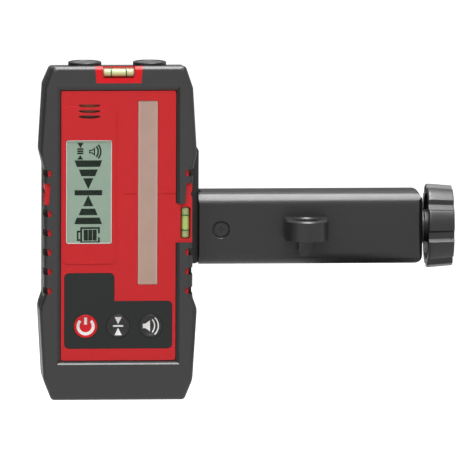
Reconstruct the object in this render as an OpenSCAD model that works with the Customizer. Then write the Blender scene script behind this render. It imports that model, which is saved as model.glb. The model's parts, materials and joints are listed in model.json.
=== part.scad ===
// Laser receiver on a staff clamp, in millimetres.
// +Z is up, the display faces -Y and the clamp arm runs along +X.
// The origin is the staff's corner: on the fixed jaw's pad, on the arm's rear face, at the grade line.

/* [Receiver case] */
// Widest width of the case
case_w = 80; // [78:0.5:88]
// Depth of the case, front face to back face
case_d = 29; // [28.5:0.5:34]
// Height of the case above the grade line
case_above = 63; // [61:0.5:70]
// Height of the case below the grade line
case_below = 105.3; // [104:0.1:112]
// Depth of the front half of the case
front_d = 17; // [15:0.5:18]
// How far the finger grips are set in on each side
grip_inset = 2.3; // [1.5:0.1:3]
// Rubber over the hard core at the grips and the top
rubber_t = 2.2; // [2.1:0.1:2.6]
// How far the rubber frame stands over the red panel
lip = 1.2; // [0.8:0.1:1.6]
// Wall of the hard shells
wall_t = 2; // [1.6:0.1:2.4]
// Rounding of the front edges
front_edge_r = 2.5; // [1:0.1:3]
// Rounding of the rear edges
rear_edge_r = 4; // [2:0.5:5]

/* [Front panel] */
// Width of the red panel inside the rubber frame
panel_w = 59; // [58:0.5:62]
// Width of the display window
lcd_w = 23.3; // [18:0.1:23.5]
// Height of the display window
lcd_h = 52.5; // [40:0.5:56]
// Width of the detection window
sensor_w = 10.1; // [8:0.1:11]
// Height of the detection window
sensor_h = 93.8; // [80:0.2:96]
// Diameter of a key
key_dia = 11.8; // [10:0.1:12.5]
// Distance between keys
key_pitch = 16.5; // [16:0.1:17.5]
// How far a key goes in
key_travel = 0.7; // [0.3:0.1:0.8]
// Distance between finger slots
slot_pitch = 9.85; // [9:0.05:9.9]

/* [Vials and magnets] */
// Diameter of the two tube vials
vial_dia = 4.8; // [4:0.1:5]
// Length of the two tube vials
vial_len = 16; // [12:0.1:17]
// Diameter of a magnet cup
magnet_dia = 16.8; // [14:0.1:17]
// How far the magnets stand over the case
magnet_proud = 2.7; // [1:0.1:4]

/* [Batteries] */
// Diameter of a cell
cell_dia = 14.5; // [14:0.1:14.6]
// Length of a cell without its button
cell_len = 49.5; // [48:0.1:50]
// Thickness of the battery door
door_t = 2.2; // [2:0.1:2.6]

/* [Clamp arm] */
// Length of the arm
arm_len = 114.3; // [111:0.1:118]
// Height of the arm
arm_h = 36.8; // [36:0.1:40]
// Depth of the arm
arm_d = 24; // [23:0.1:28]
// Wall of the arm
arm_wall = 3; // [2.5:0.1:3.5]
// Rounding of the arm's long front edges
arm_edge_r = 6.5; // [3:0.1:8]
// Thickness of the plate behind the receiver
plate_t = 7; // [6:0.1:8]
// How far the plate rises above the grade line
plate_rise = 20; // [12:0.5:22]
// How far the arm's top lies below the grade line
arm_drop = 2.6; // [0:0.1:4]
// Diameter of the round vial's cup
cup_dia = 22; // [20:0.1:24]
// Height of the round vial's cup
cup_h = 10.4; // [9:0.1:12]

/* [Jaws and spindle] */
// Clear opening between the pads as stored
jaw_open = 50; // [45:0.5:52]
// Reach of the jaws behind the arm
jaw_reach = 24; // [18:0.5:30]
// Thickness of the jaw pads
pad_t = 2; // [1.5:0.1:3]
// Diameter of the spindle
spindle_dia = 10; // [9:0.1:11]
// Diameter of the clamp knob
knob_dia = 42.6; // [36:0.2:44]
// Width of the clamp knob's rim
knob_w = 13.2; // [10:0.2:14]
// Number of lobes on the clamp knob
knob_lobes = 8; // [6:1:10]

/* [Hidden] */
$fn = 64;

// Shared fits
over = 1;            // overrun of every cut
snug = 0.1;          // clearance of a fixed piece in its seat
run = 0.06;          // radial clearance of a turning shaft
slide_gap = 0.3;     // clearance of a sliding piece
arc_steps = 2;       // facets in a rounded outline corner
round_end_share = 0.499; // end radius of a slot, as a share of its width

// Case outline, as insets from the widest half width and as heights
bulge_in = 0.3;
shoulder_in = 2.35;
corner_in = 6.3;
corner_drop = 9.2;
heel_in = 2.15;
heel_rise = 10.2;
scallop_h = 8;
scallop_low_h = 6;
grip_above = 12.6;
grip_below = 52.8;
corner_r = 2;
scallop_r = 9;
scallop_low_r = 7;
edge_shares = [0.134, 0.5, 1];   // depth of each facet ring of the front rounding
ring_shares = [0.5, 0.134, 0];   // inset of each of those rings
edge_slope_share = (1 - ring_shares[0]) / edge_shares[0];
half_w = case_w / 2;
grip_half = half_w - grip_inset;

// Hard core inside the rubber
bottom_rubber = 3;
core_corner_in = 4.4;
core_half = grip_half - rubber_t;
core_top = case_above - rubber_t;
core_low = case_below - bottom_rubber;

// Levels through the depth of the receiver, from its back face at zero
front_y = -case_d;
panel_y = front_y + lip;
inner_y = panel_y + wall_t;
part_y = front_y + front_d;
stack_d = 4.2;
board_t = 1.6;
board_y = inner_y + stack_d;
back_wall = 2.2;

// Panel opening and raised display island
panel_above = 53;
panel_below = 85.4;
panel_r = 1.5;
panel_half = panel_w / 2;
lip_bevel = 1.5;
panel_seam = 0.5;
panel_seam_d = 0.8;
island_t = 0.4;
island_edge = 1.1;
island_right = 1.2;
island_above = 44.5;
island_below = 35.5;
island_r = 3;
grade_groove = 0.5;
grade_groove_depth = 0.3;
grade_start = 2;

// Display stack
lcd_x = -14.95;
lcd_r = 1.2;
lcd_sink = 0.2;
lens_air = 0.3;
glass_margin = 0.8;
glass_t = 2.2;
frame_rim = 1.6;

// Detection window and its board
sensor_x = 14.85;
sensor_z = 0.55;
sensor_r = 0.6;
sensor_sink = 0.3;
sensor_flange = 1.4;
sensor_flange_t = 1;
diode_count = 5;
diode_w = 5;
diode_t = 1.4;
diode_share = 0.8;
diode_y = inner_y + sensor_flange_t;

// Sound slots and buzzer
sound_x = -14.75;
sound_z = 41.7;
sound_pitch = 2.8;
sound_len = 10.6;
sound_h = 1.6;
sound_bow_r = 14;
sound_top_r = 60;
sound_count = 3;
buzzer_r = 8;
buzzer_t = 3;

// Keypad plate and keys
keypad_half = 27.4;
keypad_margin = 6.5;
keypad_step = 54.5;
keypad_high = 40.2;
keypad_tower_x = -1.9;
keypad_r = 2.5;
keypad_t = 0.8;
key_rise = 11.5;
keypad_low = panel_below - keypad_margin;
key_z = key_rise - keypad_low;
key_r = key_dia / 2;
key_proud = 0.3;
key_dish = 1.2;
key_lip = 0.5;
key_flange = 1.2;
key_flange_t = 1;
key_stem_r = 2.5;
key_gap = 0.1;
switch_w = 6;
switch_t = 0.8;

// Finger slots and grade markers
slot_r = 1.8;
slot_x = 35.4;
slot_d = 11;
slot_shares = [1.08, -1, -2, -3, -4, -5];   // slots on the left side, in slot distances
right_slot_shares = [1.08, -3, -4, -5];
marker_h = 11;
marker_w = 3.4;
marker_slant = 0.7;
lug_in = 0.4;
notch_h = 6;
notch_d = 1.2;

// Vials
vial_r = vial_dia / 2;
vial_wall = 0.6;
bubble_share = 0.7;
bubble_len_share = 0.32;
vial_gap = 0.15;
vial_sink = 0.3;
top_block_half = 12.2;
top_block_taper = 0.85;
top_block_h = 6.5;
top_block_d = 7.6;
top_vial_drop = 2.5;
side_block_high = 4.9;
side_block_low = 24.8;
side_vial_x = 34;
side_vial_z = -14.8;
vial_end_r = 1.2;
top_vial_y = panel_y + vial_sink + vial_r;
top_vial_z = case_above - top_vial_drop;

// Magnets
magnet_x = 16.4;
magnet_y = -12.5;
magnet_sink = rubber_t;
magnet_rim = 2;
magnet_r = magnet_dia / 2;
magnet_recess = 0.25;

// Battery bay, door and hinge
bay_low_in = 6.5;
bay_gap = 0.7;
bay_wall = 1.2;
seal_t = 1;
contact_room = 6.3;
bay_z0 = bay_low_in - case_below;
cell_r = cell_dia / 2;
cell_x = cell_r + snug + snug;
bay_half = cell_x + cell_r + bay_gap;
bay_z1 = bay_z0 + cell_len + contact_room;
bay_back_y = -door_t - seal_t;
bay_front_y = bay_back_y - cell_dia - snug - snug;
button_r = 2.75;
button_len = 1;
contact_t = 0.5;
contact_w = 9;
leaf_rise = 2.2;
cell_y = bay_front_y + snug + cell_r;
cell_z0 = bay_z0 + contact_t + leaf_rise;
door_margin = 1.6;
door_half = bay_half + door_margin;
door_z0 = bay_z0 - door_margin;
door_z1 = bay_z1 + door_margin;
door_r = 1.5;
knuckle_r = 1.5;
pin_r = 0.8;
pin_reach = 2.5;
hinge_y = -knuckle_r;
hinge_z = door_z0 + knuckle_r;
ear_w = 3.5;
ear_t = 4;
seal_w = 1;
tab_half = 6;
tab_d = 1.2;
tab_rise = 2.4;
door_grips = 3;
grip_pitch = 2.4;
grip_h = 1.2;
grip_d = 0.6;

// Case screws
screw_x = 30.2;
screw_high = 46;
screw_low_in = 18.5;
screw_r = 1.3;
screw_head_r = 2.5;
screw_head_t = 1.6;
screw_sink = 0.6;
boss_r = 3.2;
screw_low = case_below - screw_low_in;
board_half = screw_x - boss_r - 2 * snug;
board_low = keypad_low - keypad_r;
board_high = sound_z - sound_pitch;
boss_depth = 6;
gasket_w = 1;
gasket_t = 1;
gasket_in = 0.6;

// Captive clamp screw and its brass insert
captive_z = -9;
captive_r = 2.5;
captive_grip = 6.5;
captive_head_r = 9;
captive_head_t = 8;
captive_neck_r = 5;
captive_washer_t = 0.8;
captive_washer_r = 6;
captive_flutes = 16;
captive_flute_r = 1.1;
insert_r = 4.5;
insert_len = 9;
insert_boss = 2;
peg_x = 15;
peg_r = 2.5;
peg_len = 1.4;

// Where the receiver and the arm sit
plate_beyond = 2.4;
plate_left = 22;
plate_r = 2;
seat_drop = 8;
arm_start = 2;
jaw_t = 10;
receiver_x = -pad_t - jaw_t - half_w;
seat_y = seat_drop - arm_d;
plate_y = seat_y + plate_t;
plate_x0 = receiver_x - plate_left;
plate_x1 = receiver_x + half_w + plate_beyond;
arm_x0 = receiver_x + half_w + arm_start;
arm_x1 = arm_x0 + arm_len;
arm_end_r = 5;
arm_corner_r = 4;
arm_root_r = 0.8;
arm_rear_r = 3;
plate_fillet = 2;
axis_y = -arm_d / 2;
arm_top = -arm_drop;
arm_low = arm_top - arm_h;
axis_z = arm_top - arm_h / 2;

// Channel in the arm, with the guide plate that closes it
channel_h = 20;
end_wall = 5;
guide_t = 2.5;
guide_edge = 5;
guide_h = 30;
guide_r = 2;
neck_h = 14;
neck_slot_end = 7;
guide_screw_r = 1.3;
guide_head_r = 2.5;
guide_head_t = 1.5;
guide_screw_in = 3;
guide_screw_len = 6;
channel_y0 = -arm_d + arm_wall;
channel_x1 = arm_x1 - end_wall;
guide_x1 = arm_x1 - guide_edge;

// Spindle bearing at the inner end
bearing_len = 13;
channel_in = 1;
bearing_x0 = channel_in - pad_t;
bearing_x1 = bearing_x0 + bearing_len;
journal_r = 3.5;
journal_len = 10;
bearing_screw_r = 1.5;
bearing_screw_in = 2.4;
bearing_screw_x = bearing_x0 + bearing_screw_in;
bearing_head_r = 3.5;
bearing_head_t = 1.1;
bearing_head_sink = 0.9;
bearing_recess_r = 4.3;
bearing_screw_gap = 1;
bearing_screw_len = arm_d / 2 - arm_wall - journal_r - bearing_screw_gap;
cross_w = 0.7;
cross_len_share = 1.3;
cross_d_share = 0.5;

// Jaws
jaw_drop = 4.5;
jaw_half = arm_h / 2 - jaw_drop;
jaw_r = 3;
jaw_tip_r = 1.4;
jaw_gusset = 18;
jaw_gusset_y_share = 0.45;
pad_inset = 2;
jaw_clear = 0.4;
jaw_head_t = 11;
jaw_edge = 1;
jaw_slope = 7;
carriage_len = 22;
carriage_back = 4;
neck_len = 16;
nut_h = 15;
nut_share = 0.625;     // depth of the square nut, as a share of the arm's depth
nut_len = 12;
jaw_x = jaw_open + pad_t;
nut_d = arm_d * nut_share;

// Spindle, clip and knob
spindle_r = spindle_dia / 2;
clip_r = 7.5;
clip_t = 1.2;
clip_depth = 0.6;
washer_r = 8.8;
washer_t = 1;
washer_clear = 0.25;
knob_r = knob_dia / 2;
knob_round = 1.6;
knob_inner_round = 0.8;
knob_taper = 0.9;
knob_land = 2;
knob_rim = 4.4;
knob_recess_d = 2.5;
knob_hub_r = 8.3;
knob_hub_len = 1.1;
knob_web = 4;
flute_w = 6.8;
flute_floor_w = 3.2;
flute_depth = 2;
lobe_turn = 14.3;
flute_turn_share = 0.5;
cap_r = 9;
cap_t = 1.6;
spindle_end = 2;
washer_x = arm_x1;
hub_x = washer_x + washer_t + washer_clear;
knob_x0 = hub_x + knob_hub_len;
knob_x1 = knob_x0 + knob_w;

// Round vial on the arm's front
cup_x = 44.2;
cup_drop = 11.9;
cup_top = arm_top - cup_drop;
cup_bore_r = 6.8;
cup_floor = 2;
cup_r = cup_dia / 2;
puck_sink = 2.4;
puck_dome_r = 16;
puck_wall = 0.8;
rib_w = 7.4;
rib_h = 9.8;
rib_d = 9;
rib_toe = 2.4;
cup_y = -arm_d - cup_r;
puck_z0 = cup_top - cup_h + cup_floor;
puck_z1 = cup_top - puck_sink;

// Small shape helpers

function unit(v) = v / norm(v);
function turned(v, a) = [v.x * cos(a) - v.y * sin(a), v.x * sin(a) + v.y * cos(a)];
function corner_arc(before, at, after, r) =
    let (u = unit(before - at), v = unit(after - at),
         half = acos(u * v) / 2,
         centre = at + unit(u + v) * r / sin(half),
         first = at + u * r / tan(half) - centre,
         side = sign(u.x * v.y - u.y * v.x))
    [for (i = [0:arc_steps]) centre + turned(first, -side * (180 - 2 * half) * i / arc_steps)];
function rounded_path(points, radii) =
    let (n = len(points))
    [for (i = [0:n - 1])
        each corner_arc(points[(i + n - 1) % n], points[i], points[(i + 1) % n], radii[i])];
function mirrored(points) = concat(points, [for (i = [len(points) - 1:-1:0]) [-points[i].x, points[i].y]]);
function mirrored_radii(radii) = concat(radii, [for (i = [len(radii) - 1:-1:0]) radii[i]]);

// Profile in X and Z, extruded along Y
module along_y(y) {
    translate([0, y[1], 0]) rotate([90, 0, 0]) linear_extrude(y[1] - y[0]) children();
}

// Profile in Y and Z, extruded along X
module along_x(x) {
    translate([x[0], 0, 0]) rotate([90, 0, 90]) linear_extrude(x[1] - x[0]) children();
}

// Profile in X and Y, extruded along Z
module along_z(z) {
    translate([0, 0, z[0]]) linear_extrude(z[1] - z[0]) children();
}

module block(x, y, z) {
    translate([x[0], y[0], z[0]]) cube([x[1] - x[0], y[1] - y[0], z[1] - z[0]]);
}

module rect(a, b) {
    translate([a[0], b[0]]) square([a[1] - a[0], b[1] - b[0]]);
}

module rounded_rect(a, b, r) {
    rect([a[0] + r, a[1] - r], b);
    rect(a, [b[0] + r, b[1] - r]);
    for (x = [a[0] + r, a[1] - r], y = [b[0] + r, b[1] - r]) translate([x, y]) circle(r);
}

module rod_x(x, r) {
    translate([x[0], 0, 0]) rotate([0, 90, 0]) cylinder(h = x[1] - x[0], r = r);
}

module rod_y(y, r) {
    translate([0, y[0], 0]) rotate([-90, 0, 0]) cylinder(h = y[1] - y[0], r = r);
}

module rod_z(z, r) {
    translate([0, 0, z[0]]) cylinder(h = z[1] - z[0], r = r);
}

module both_sides() {
    children();
    mirror([1, 0, 0]) children();
}

module at_receiver() {
    translate([receiver_x, seat_y, 0]) children();
}

module at_axis() {
    translate([0, axis_y, axis_z]) children();
}

// Receiver outlines

function case_outline() = rounded_path(
    mirrored([
        [half_w - corner_in, case_above],
        [half_w - shoulder_in, case_above - corner_drop],
        [half_w - bulge_in, grip_above + scallop_h],
        [grip_half, grip_above],
        [grip_half, -grip_below],
        [half_w, -grip_below - scallop_low_h],
        [half_w - heel_in, heel_rise - case_below],
        [half_w - corner_in, -case_below]
    ]),
    mirrored_radii([
        corner_r, corner_r, scallop_r, scallop_r, scallop_low_r, scallop_low_r, scallop_r, corner_r
    ]));

function core_outline(inset) = mirrored([
    [core_half - core_corner_in - inset, core_top - inset],
    [core_half - inset, core_top - corner_drop - inset],
    [core_half - inset, inset + heel_rise - core_low],
    [core_half - core_corner_in - inset, inset - core_low]
]);

// Outline drawn in on all sides, about the middle of its height
function inset_outline(inset) =
    let (mid = (case_above - case_below) / 2, half_h = (case_above + case_below) / 2)
    [for (p = case_outline())
        [p.x * (half_w - inset) / half_w, mid + (p.y - mid) * (half_h - inset) / half_h]];

// Front half of the rubber form: rings lofted over the rounded front edge, trimmed to its two planes
module front_half() {
    levels = concat(
        [front_y - over], [for (share = edge_shares) front_y + front_edge_r * share], [part_y + over]);
    insets = concat(
        [front_edge_r + edge_slope_share * over], [for (share = ring_shares) front_edge_r * share], [0]);
    n = len(case_outline());
    last = len(levels) - 1;
    difference() {
        polyhedron(
            points = [for (k = [0:last]) each [for (p = inset_outline(insets[k])) [p.x, levels[k], p.y]]],
            faces = concat(
                [[for (i = [0:n - 1]) i]],
                [for (k = [0:last - 1], i = [0:n - 1]) [k * n + i, (k + 1) * n + i, k * n + (i + 1) % n]],
                [for (k = [0:last - 1], i = [0:n - 1])
                    [(k + 1) * n + i, (k + 1) * n + (i + 1) % n, k * n + (i + 1) % n]],
                [[for (i = [n - 1:-1:0]) last * n + i]]));
        for (y = [front_y - 2 * over, part_y])
            block([-half_w - over, half_w + over], [y, y + 2 * over],
                [-case_below - over, case_above + over]);
    }
}

// Rear half, with its edges rounded towards the back
module rear_half() {
    intersection() {
        along_y([part_y, 0]) polygon(case_outline());
        along_z([-case_below, case_above])
            rounded_rect([-half_w, half_w], [front_y, 0], rear_edge_r);
        along_x([-half_w, half_w])
            rounded_rect([front_y, 0], [-case_below, case_above], rear_edge_r);
    }
}

module core_prism(y, inset) {
    along_y(y) polygon(core_outline(inset));
}

// Where the red core comes out through the rubber: grade markers, side vial block and top vial block
module red_windows_2d() {
    polygon([
        [-half_w - over, marker_h / 2], [marker_w - grip_half, marker_h / 2],
        [marker_w - marker_slant - grip_half, -marker_h / 2], [-half_w - over, -marker_h / 2]
    ]);
    polygon([
        [half_w + over, marker_h / 2], [grip_half - marker_w, marker_h / 2],
        [grip_half - marker_w - marker_slant, -marker_h / 2], [half_w + over, -marker_h / 2]
    ]);
    rect([panel_half, half_w + over], [-side_block_low, -side_block_high]);
}

module top_block_2d() {
    polygon([
        [-top_block_half, case_above + over],
        [top_block_half, case_above + over],
        [top_block_half, case_above],
        [top_block_half - top_block_taper, case_above - top_block_h],
        [top_block_taper - top_block_half, case_above - top_block_h],
        [-top_block_half, case_above]
    ]);
}

module red_prisms() {
    along_y([front_y - over, part_y + over]) red_windows_2d();
    along_y([front_y - over, front_y + top_block_d]) top_block_2d();
}

module finger_slots() {
    for (side = [-1, 1], k = side < 0 ? slot_shares : right_slot_shares)
        along_y([front_y - over, front_y + slot_d]) {
            translate([side * slot_x, k * slot_pitch]) circle(slot_r);
            translate([side * (slot_x + half_w + over) / 2, k * slot_pitch])
                square([half_w + over - slot_x, 2 * slot_r], center = true);
        }
}

module grade_notches() {
    both_sides()
        along_y([front_y - over, part_y + over])
            polygon([
                [grip_half + over, notch_h / 2 + notch_h / notch_d * over / 2],
                [grip_half - notch_d, 0],
                [grip_half + over, -notch_h / 2 - notch_h / notch_d * over / 2]
            ]);
}

module panel_opening_2d() {
    rounded_rect([-panel_half, panel_half], [-panel_below, panel_above], panel_r);
}

// Seam round the panel, which stops where the panel runs out into the side block
module panel_seam_2d() {
    difference() {
        panel_opening_2d();
        rounded_rect([panel_seam - panel_half, panel_half - panel_seam],
            [panel_seam - panel_below, panel_above - panel_seam], panel_r);
        rect([panel_half - panel_seam - over, panel_half + over], [-side_block_low, -side_block_high]);
    }
}

// The rubber lip falls away to the panel on a bevel, mitred at the corners
module panel_bevel() {
    flare = lip_bevel / lip * over;
    intersection() {
        along_x([-half_w, half_w])
            polygon([
                [front_y - over, -panel_below - lip_bevel - flare], [panel_y + over, flare - panel_below],
                [panel_y + over, panel_above - flare], [front_y - over, panel_above + lip_bevel + flare]
            ]);
        along_z([-case_below, case_above])
            polygon([
                [-panel_half - lip_bevel - flare, front_y - over],
                [panel_half + lip_bevel + flare, front_y - over],
                [panel_half - flare, panel_y + over], [flare - panel_half, panel_y + over]
            ]);
    }
}

module magnet_pockets(sink) {
    both_sides()
        translate([magnet_x, magnet_y, 0]) rod_z([case_above - sink, case_above + over], magnet_r);
}

module screw_places() {
    for (x = [-screw_x, screw_x], z = [-screw_low, screw_high]) translate([x, 0, z]) children();
}

// Rubber frame moulded over the front of the core
module front_bumper() {
    color([0.16, 0.16, 0.17]) at_receiver() difference() {
        front_half();
        core_prism([panel_y, part_y + over], 0);
        along_y([front_y - over, panel_y + over]) panel_opening_2d();
        panel_bevel();
        red_prisms();
        finger_slots();
        magnet_pockets(magnet_sink + over);
    }
}

// Red hard shell: panel, grade markers and the two vial beds
module front_case() {
    color([0.78, 0.15, 0.17]) at_receiver() difference() {
        union() {
            core_prism([panel_y, part_y], 0);
            along_y([panel_y, part_y]) intersection() {
                polygon(inset_outline(lug_in));
                red_windows_2d();
            }
            intersection() {
                along_y([front_y, front_y + top_block_d]) top_block_2d();
                along_x([-half_w, half_w])
                    rounded_rect([front_y, 0], [-case_below, case_above], front_edge_r);
            }
            along_y([panel_y - island_t, panel_y])
                rounded_rect([island_edge - panel_half, -island_right],
                    [-island_below, island_above], island_r);
        }
        difference() {
            core_prism([inner_y, part_y + over], wall_t);
            screw_places() rod_y([inner_y, part_y], boss_r);
            top_vial_bed();
            side_vial_bed();
        }
        grade_notches();
        along_y([panel_y - over, panel_y + panel_seam_d]) panel_seam_2d();
        along_y([panel_y - over, panel_y + grade_groove_depth])
            rect([grade_start, panel_half], [-grade_groove / 2, grade_groove / 2]);
        along_y([front_y - over, inner_y + over]) lcd_opening_2d(0);
        along_y([front_y - over, inner_y + over]) sensor_opening_2d(0);
        for (k = [0:sound_count - 1])
            along_y([front_y - over, inner_y + over])
                sound_slot_2d(sound_z + (k - (sound_count - 1) / 2) * sound_pitch);
        along_y([front_y - over, panel_y + keypad_t]) keypad_2d(0);
        key_places() rod_y([front_y - over, inner_y + over], key_r + snug);
        top_vial_pocket();
        side_vial_pocket();
        screw_places() rod_y([part_y - boss_depth, part_y + over], screw_r);
    }
}

module lcd_opening_2d(inset) {
    rounded_rect(
        [lcd_x - lcd_w / 2 + inset, lcd_x + lcd_w / 2 - inset],
        [-lcd_h / 2 + inset, lcd_h / 2 - inset], lcd_r - inset);
}

module sensor_opening_2d(inset) {
    rounded_rect(
        [sensor_x - sensor_w / 2 + inset, sensor_x + sensor_w / 2 - inset],
        [sensor_z - sensor_h / 2 + inset, sensor_z + sensor_h / 2 - inset], sensor_r);
}

// A slot that bows down and is widest in the middle
module sound_slot_2d(z) {
    intersection() {
        difference() {
            translate([sound_x, z - sound_h / 2 + sound_bow_r]) circle(sound_bow_r);
            translate([sound_x, z + sound_h / 2 + sound_top_r]) circle(sound_top_r, $fn = 128);
        }
        rect([sound_x - sound_len / 2, sound_x + sound_len / 2], [z - sound_len / 2, z + sound_len / 2]);
    }
}

// L-shaped keypad field
module keypad_2d(inset) {
    rounded_rect([inset - keypad_half, keypad_half - inset],
        [inset - keypad_low, -keypad_step - inset], keypad_r);
    rounded_rect([inset - keypad_half, keypad_tower_x - inset],
        [inset - keypad_low, -keypad_high - inset], keypad_r);
}

module key_places() {
    for (k = [-1:1]) translate([k * key_pitch, 0, key_z]) children();
}

// The bed and pocket of the level vial at the top edge
module top_vial_bed() {
    block([-top_block_half, top_block_half], [inner_y, front_y + top_block_d],
        [top_vial_z - vial_r - vial_gap - wall_t, core_top]);
}

module top_vial_pocket() {
    along_y([front_y - over, top_vial_y + vial_r + vial_gap])
        rounded_rect(
            [-vial_len / 2 - vial_gap, vial_len / 2 + vial_gap],
            [top_vial_z - vial_r - vial_gap, case_above + vial_end_r + over], vial_end_r + vial_gap);
}

// The bed and pocket of the plumb vial at the right edge
module side_vial_bed() {
    block([side_vial_x - vial_r - vial_gap - wall_t, core_half],
        [inner_y, top_vial_y + vial_r + vial_gap + wall_t], [-side_block_low, -side_block_high]);
}

module side_vial_pocket() {
    along_y([front_y - over, top_vial_y + vial_r + vial_gap])
        rounded_rect(
            [side_vial_x - vial_r - vial_gap, side_vial_x + vial_r + vial_gap],
            [side_vial_z - vial_len / 2 - vial_gap, side_vial_z + vial_len / 2 + vial_gap],
            vial_end_r + vial_gap);
}

// Tube vial along X with rounded ends and its fluid bore
module vial_tube() {
    difference() {
        rotate([0, 90, 0]) rotate_extrude() intersection() {
            rounded_rect([-vial_r, vial_r], [-vial_len / 2, vial_len / 2], vial_end_r);
            rect([0, vial_r], [-vial_len / 2, vial_len / 2]);
        }
        rod_x([vial_wall - vial_len / 2, vial_len / 2 - vial_wall], vial_r - vial_wall);
    }
}

module vial_bubble() {
    bubble_r = (vial_r - vial_wall) * bubble_share;
    bubble_half = vial_len * bubble_len_share / 2;
    rod_x([-bubble_half, bubble_half], bubble_r);
    for (x = [-bubble_half, bubble_half]) translate([x, 0, 0]) sphere(bubble_r);
}

module vial_fluid(lift) {
    difference() {
        rod_x([vial_wall - vial_len / 2, vial_len / 2 - vial_wall], vial_r - vial_wall);
        translate(lift * (vial_r - vial_wall) * (1 - bubble_share) * bubble_len_share) vial_bubble();
    }
}

module at_top_vial() {
    at_receiver() translate([0, top_vial_y, top_vial_z]) children();
}

module at_side_vial() {
    at_receiver() translate([side_vial_x, top_vial_y, side_vial_z]) rotate([0, 90, 0]) children();
}

module top_vial() {
    color([0.9, 0.95, 0.85]) at_top_vial() vial_tube();
}

module top_vial_fluid() {
    color([0.82, 0.9, 0.45]) at_top_vial() vial_fluid([0, 0, 1]);
}

module side_vial() {
    color([0.9, 0.95, 0.85]) at_side_vial() vial_tube();
}

module side_vial_fluid() {
    color([0.7, 0.85, 0.35]) at_side_vial() vial_fluid([0, -1, 0]);
}

// Dark back half with the battery bay
module rear_case() {
    color([0.15, 0.15, 0.16]) at_receiver() difference() {
        union() {
            difference() {
                rear_half();
                core_prism([part_y - over, -back_wall], wall_t);
            }
            screw_places() rod_y([part_y, -back_wall], boss_r);
            block([-bay_half - bay_wall, bay_half + bay_wall], [bay_front_y - bay_wall, -back_wall],
                [bay_z0 - bay_wall, bay_z1 + bay_wall]);
            translate([0, 0, captive_z])
                rod_y([-insert_len - insert_boss, -back_wall], insert_r + insert_boss);
            both_sides()
                block([door_half, door_half + snug + ear_w], [-ear_t, -back_wall],
                    [door_z0 - door_margin, door_z0 + ear_t]);
            block([-door_half - ear_w, door_half + ear_w], [-ear_t, -back_wall],
                [door_z0 - door_margin, bay_z0 - bay_wall]);
        }
        block([-bay_half, bay_half], [bay_front_y, over], [bay_z0, bay_z1]);
        along_y([-door_t, over]) {
            rounded_rect([-door_half - slide_gap, door_half + slide_gap],
                [door_z0 - slide_gap, door_z1 + slide_gap], door_r);
            rect([-door_half - slide_gap, door_half + slide_gap], [door_z0 - slide_gap, hinge_z]);
        }
        along_y([bay_back_y, over])
            rect([-bay_half - seal_w, bay_half + seal_w], [bay_z0 + knuckle_r, bay_z1 + seal_w]);
        at_door_hinge() rod_x([-door_half - slide_gap, door_half + slide_gap], knuckle_r + slide_gap);
        at_door_hinge() rod_x([-door_half - pin_reach, door_half + pin_reach], pin_r);
        along_y([-tab_d, over]) rect([-tab_half, tab_half], [door_z1, door_z1 + tab_rise]);
        translate([0, 0, captive_z]) rod_y([-insert_len, over], insert_r);
        both_sides() translate([peg_x, 0, captive_z]) rod_y([-peg_len - snug, over], peg_r + snug);
        screw_places() rod_y([part_y - over, over], screw_r + snug);
        screw_places() rod_y([-screw_sink - screw_head_t, over], screw_head_r + snug);
        gasket_ring(gasket_t);
        magnet_pockets(magnet_sink);
    }
}

module gasket_ring(t) {
    along_y([part_y, part_y + t]) difference() {
        polygon(core_outline(gasket_in));
        polygon(core_outline(gasket_in + gasket_w));
    }
}

module case_gasket() {
    color([0.1, 0.1, 0.1]) at_receiver() gasket_ring(gasket_t);
}

module case_screws() {
    color([0.6, 0.6, 0.62]) at_receiver() screw_places() difference() {
        union() {
            rod_y([-screw_sink - screw_head_t, -screw_sink], screw_head_r);
            rod_y([part_y - boss_depth, -screw_sink], screw_r);
        }
        cross_recess(-screw_sink, screw_r, screw_head_t);
    }
}

// Cross recess in a head that faces +Y
module cross_recess(y, r, t) {
    for (turn = [0, 90])
        rotate([0, turn, 0])
            block([-r * cross_len_share, r * cross_len_share], [y - t * cross_d_share, y + over],
                [-cross_w / 2, cross_w / 2]);
}

// Display: window, liquid crystal glass and the frame that holds it on the board
module lcd_lens() {
    color([0.72, 0.8, 0.74, 0.5]) at_receiver()
        along_y([panel_y - island_t + lcd_sink, inner_y - lens_air]) lcd_opening_2d(snug);
}

module lcd_panel() {
    color([0.6, 0.68, 0.6]) at_receiver()
        block([lcd_x - lcd_w / 2 - glass_margin, lcd_x + lcd_w / 2 + glass_margin],
            [inner_y, inner_y + glass_t], [-lcd_h / 2 - glass_margin, lcd_h / 2 + glass_margin]);
}

module lcd_frame() {
    color([0.2, 0.2, 0.2]) at_receiver() difference() {
        block([lcd_x - lcd_w / 2 - glass_margin - frame_rim, lcd_x + lcd_w / 2 + glass_margin + frame_rim],
            [inner_y, board_y],
            [-lcd_h / 2 - glass_margin - frame_rim, lcd_h / 2 + glass_margin + frame_rim]);
        block([lcd_x - lcd_w / 2 - glass_margin - snug, lcd_x + lcd_w / 2 + glass_margin + snug],
            [inner_y - over, inner_y + glass_t],
            [-lcd_h / 2 - glass_margin - snug, lcd_h / 2 + glass_margin + snug]);
    }
}

module main_board() {
    color([0.1, 0.35, 0.2]) at_receiver() difference() {
        block([-board_half, board_half], [board_y, board_y + board_t], [-board_low, board_high]);
    }
}

// Detection window, and the photodiode strip behind it
module sensor_window() {
    color([0.72, 0.62, 0.57]) at_receiver() {
        along_y([panel_y + sensor_sink, inner_y]) sensor_opening_2d(snug);
        along_y([inner_y, inner_y + sensor_flange_t]) sensor_opening_2d(-sensor_flange);
    }
}

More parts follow.
